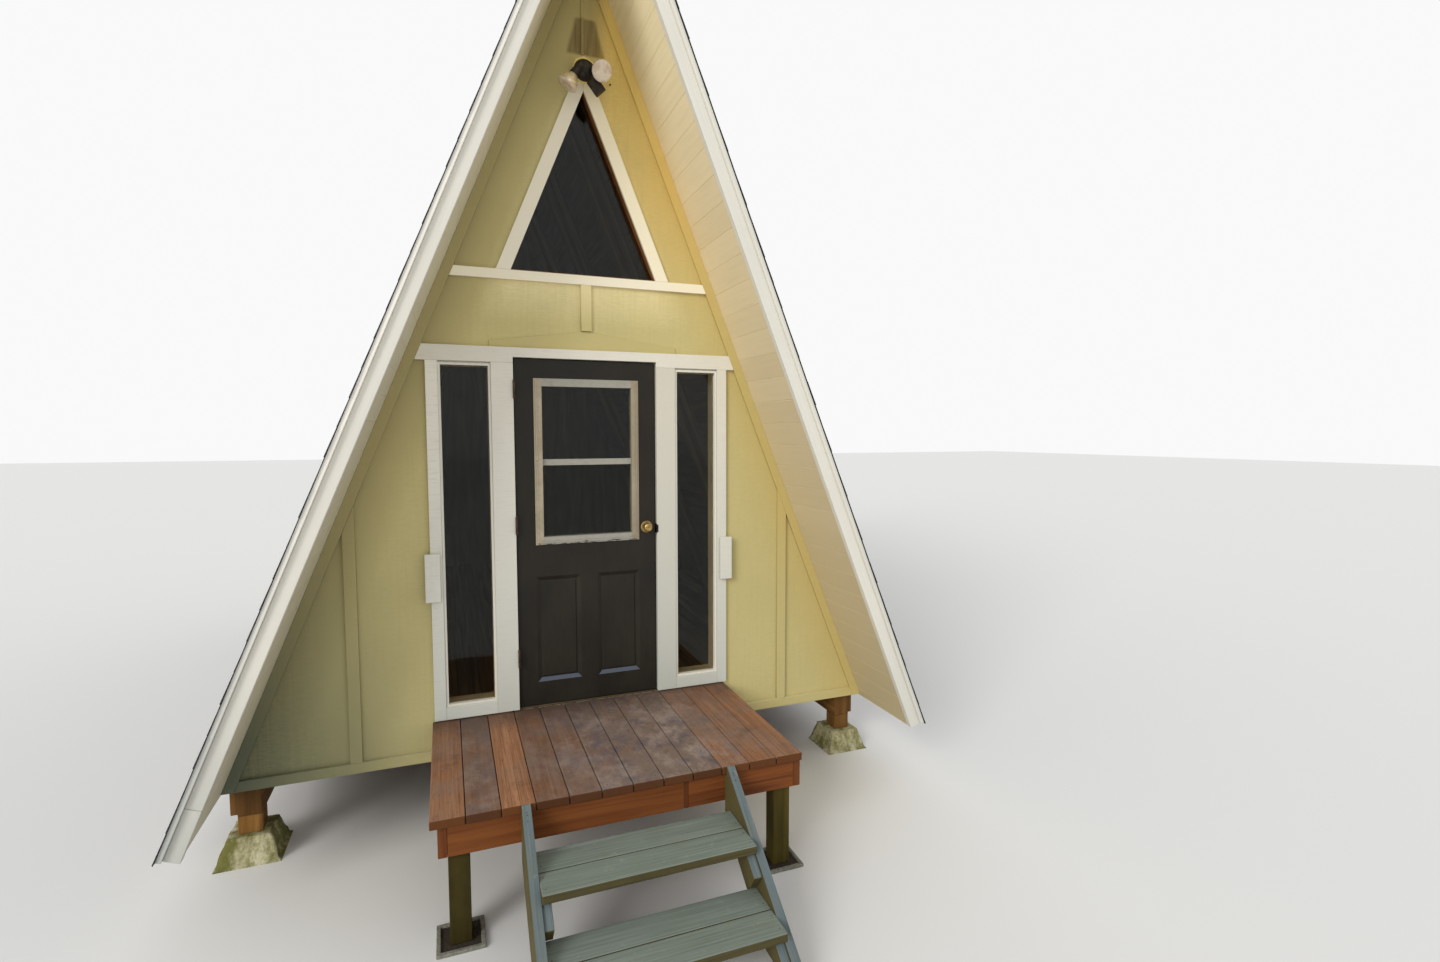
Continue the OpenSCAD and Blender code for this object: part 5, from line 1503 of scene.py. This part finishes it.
UP = (0, 0, 1)
HALF_RIM = 0.019
DECK_GAP = 0.0036
FROM_LEFT = 0.028
FROM_RIGHT = 0.032
deck_low, deck_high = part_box("deck_boards")
rim_low, rim_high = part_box("deck_frame")
rim_middle_y = (rim_low.y + rim_high.y) / 2
board_step = (deck_high.x - deck_low.x + DECK_GAP) / len(DECK_TONES)
screw_rows = [rim_low.y + HALF_RIM, rim_middle_y + HALF_RIM, rim_high.y - HALF_RIM]
deck_spots = [((deck_low.x + number * board_step + inset, y, deck_high.z), UP)
              for number in range(len(DECK_TONES))
              for inset in (FROM_LEFT, board_step - FROM_RIGHT)
              for y in screw_rows]
screw_heads("deck_screws", deck_spots)

# %% Screws of the stair
SLOPE = math.radians(35.5)
EDGE_NORMAL = (0, -math.sin(SLOPE), math.cos(SLOPE))
stringer_low, stringer_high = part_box("stair_stringers")
tread_low, tread_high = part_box("stair_treads")
STRINGER_T = 0.039
STRINGER_TOP_Y = -2.8712
STRINGER_SCREWS = (0.034, 0.046, 0.072)
TREAD_SCREWS = (0.038, 0.113, 0.194, 0.269)
TREAD_FRONTS_Y = (-3.2202, -3.5162)
TREAD_T = 0.038
TREAD_END = 0.019


def on_stringer(x, down):
    """A point of a stringer's upper edge, a distance down from its upper end."""
    return Vector((x, STRINGER_TOP_Y - down * math.cos(SLOPE),
                   stringer_high.z - down * math.sin(SLOPE)))


stair_spots = [(on_stringer(x, down), EDGE_NORMAL)
               for x in (stringer_low.x + STRINGER_T / 2, stringer_high.x - STRINGER_T / 2)
               for down in STRINGER_SCREWS]
for top_z, front_y in zip((tread_high.z, tread_low.z + TREAD_T), TREAD_FRONTS_Y):
    for x in (tread_low.x + TREAD_END, tread_high.x - TREAD_END):
        stair_spots += [((x, front_y + back, top_z), UP) for back in TREAD_SCREWS]
screw_heads("stair_screws", stair_spots)

# %% Nail in the gable
NAIL_OUTLINE = [(0, 0), (1.6, 0), (1.6, 14), (5.5, 14.6), (5.5, 16.6), (0, 17.4)]
nail_place = (0.152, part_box("front_gable_wings")[0].y, 4.162)
nail = placed(turned(NAIL_OUTLINE, 16), aim(nail_place, (0.1, -1, 0.1)))
piece_of(nail, "gable_nail", screw_steel)

# %% [markdown]
# ## Studio
# A pale floor and an even white sky light the cabin from all sides, and one soft lamp from the front
# left gives form. The sky is brighter to the eye than to the walls: rays that come straight from the
# camera, or by way of metal and glass, see nearly plain white, and all others see the level that lets
# a colour render as it is written.

# %% Floor and sky
SKY_LEVEL = 0.74
SKY_SEEN = 0.95
FLOOR_SIZE = 120
bpy.ops.mesh.primitive_plane_add(size=FLOOR_SIZE, location=(0, 0, 0))
floor = bpy.context.object
floor.name = "studio_floor"
floor_finish = Finish("pale_floor", roughness=0.9)
floor_finish.colour((0.80, 0.80, 0.79, 1.0))
floor.data.materials.append(floor_finish.material)

scene = bpy.context.scene
scene.world = bpy.data.worlds.new("studio_sky")
scene.world.use_nodes = True
sky = scene.world.node_tree
rays = sky.nodes.new("ShaderNodeLightPath").outputs


def either(first, second):
    """One where either of two marks of the sky's rays is one."""
    node = sky.nodes.new("ShaderNodeMath")
    node.operation = "MAXIMUM"
    sky.links.new(first, node.inputs[0])
    sky.links.new(second, node.inputs[1])
    return node.outputs[0]


seen = either(either(rays["Is Glossy Ray"], rays["Is Transmission Ray"]), rays["Is Camera Ray"])
strength = sky.nodes.new("ShaderNodeMapRange")
strength.inputs["To Min"].default_value = SKY_LEVEL
strength.inputs["To Max"].default_value = SKY_SEEN
sky.links.new(seen, strength.inputs["Value"])
sky.links.new(strength.outputs["Result"], sky.nodes["Background"].inputs["Strength"])
sky.nodes["Background"].inputs["Color"].default_value = (1, 1, 1, 1)

# %% Soft lamp
LAMP_FROM = Vector((-0.75, -0.6, 0.45))
LAMP_ENERGY = 1.6
LAMP_SPREAD = math.radians(25)
lamp = bpy.data.objects.new("soft_lamp", bpy.data.lights.new("soft_lamp", "SUN"))
lamp.data.energy = LAMP_ENERGY
lamp.data.angle = LAMP_SPREAD
lamp.data.color = (1.0, 0.985, 0.95)
lamp.rotation_mode = "QUATERNION"
lamp.rotation_quaternion = (-LAMP_FROM).to_track_quat("-Z", "Y")
scene.collection.objects.link(lamp)

# %% [markdown]
# ## Camera
# The camera stands a little left of the door and 2.2 m above the ground, turned to the right and
# slightly down, with a wide lens. That is why the roof's right slope looks so broad.

# %% Camera
LENS = 17.46
SENSOR_W = 36
EYE = (-0.770, -5.8642, 2.190)
DOWN, ROLL, TO_RIGHT = 3.94, 0.03, 21.44
camera = bpy.data.objects.new("camera", bpy.data.cameras.new("camera"))
camera.data.lens = LENS
camera.data.sensor_width = SENSOR_W
camera.data.sensor_fit = "HORIZONTAL"
camera.location = EYE
camera.rotation_euler = (math.radians(90 - DOWN), math.radians(ROLL), math.radians(-TO_RIGHT))
scene.collection.objects.link(camera)
scene.camera = camera
scene.view_settings.view_transform = "Standard"
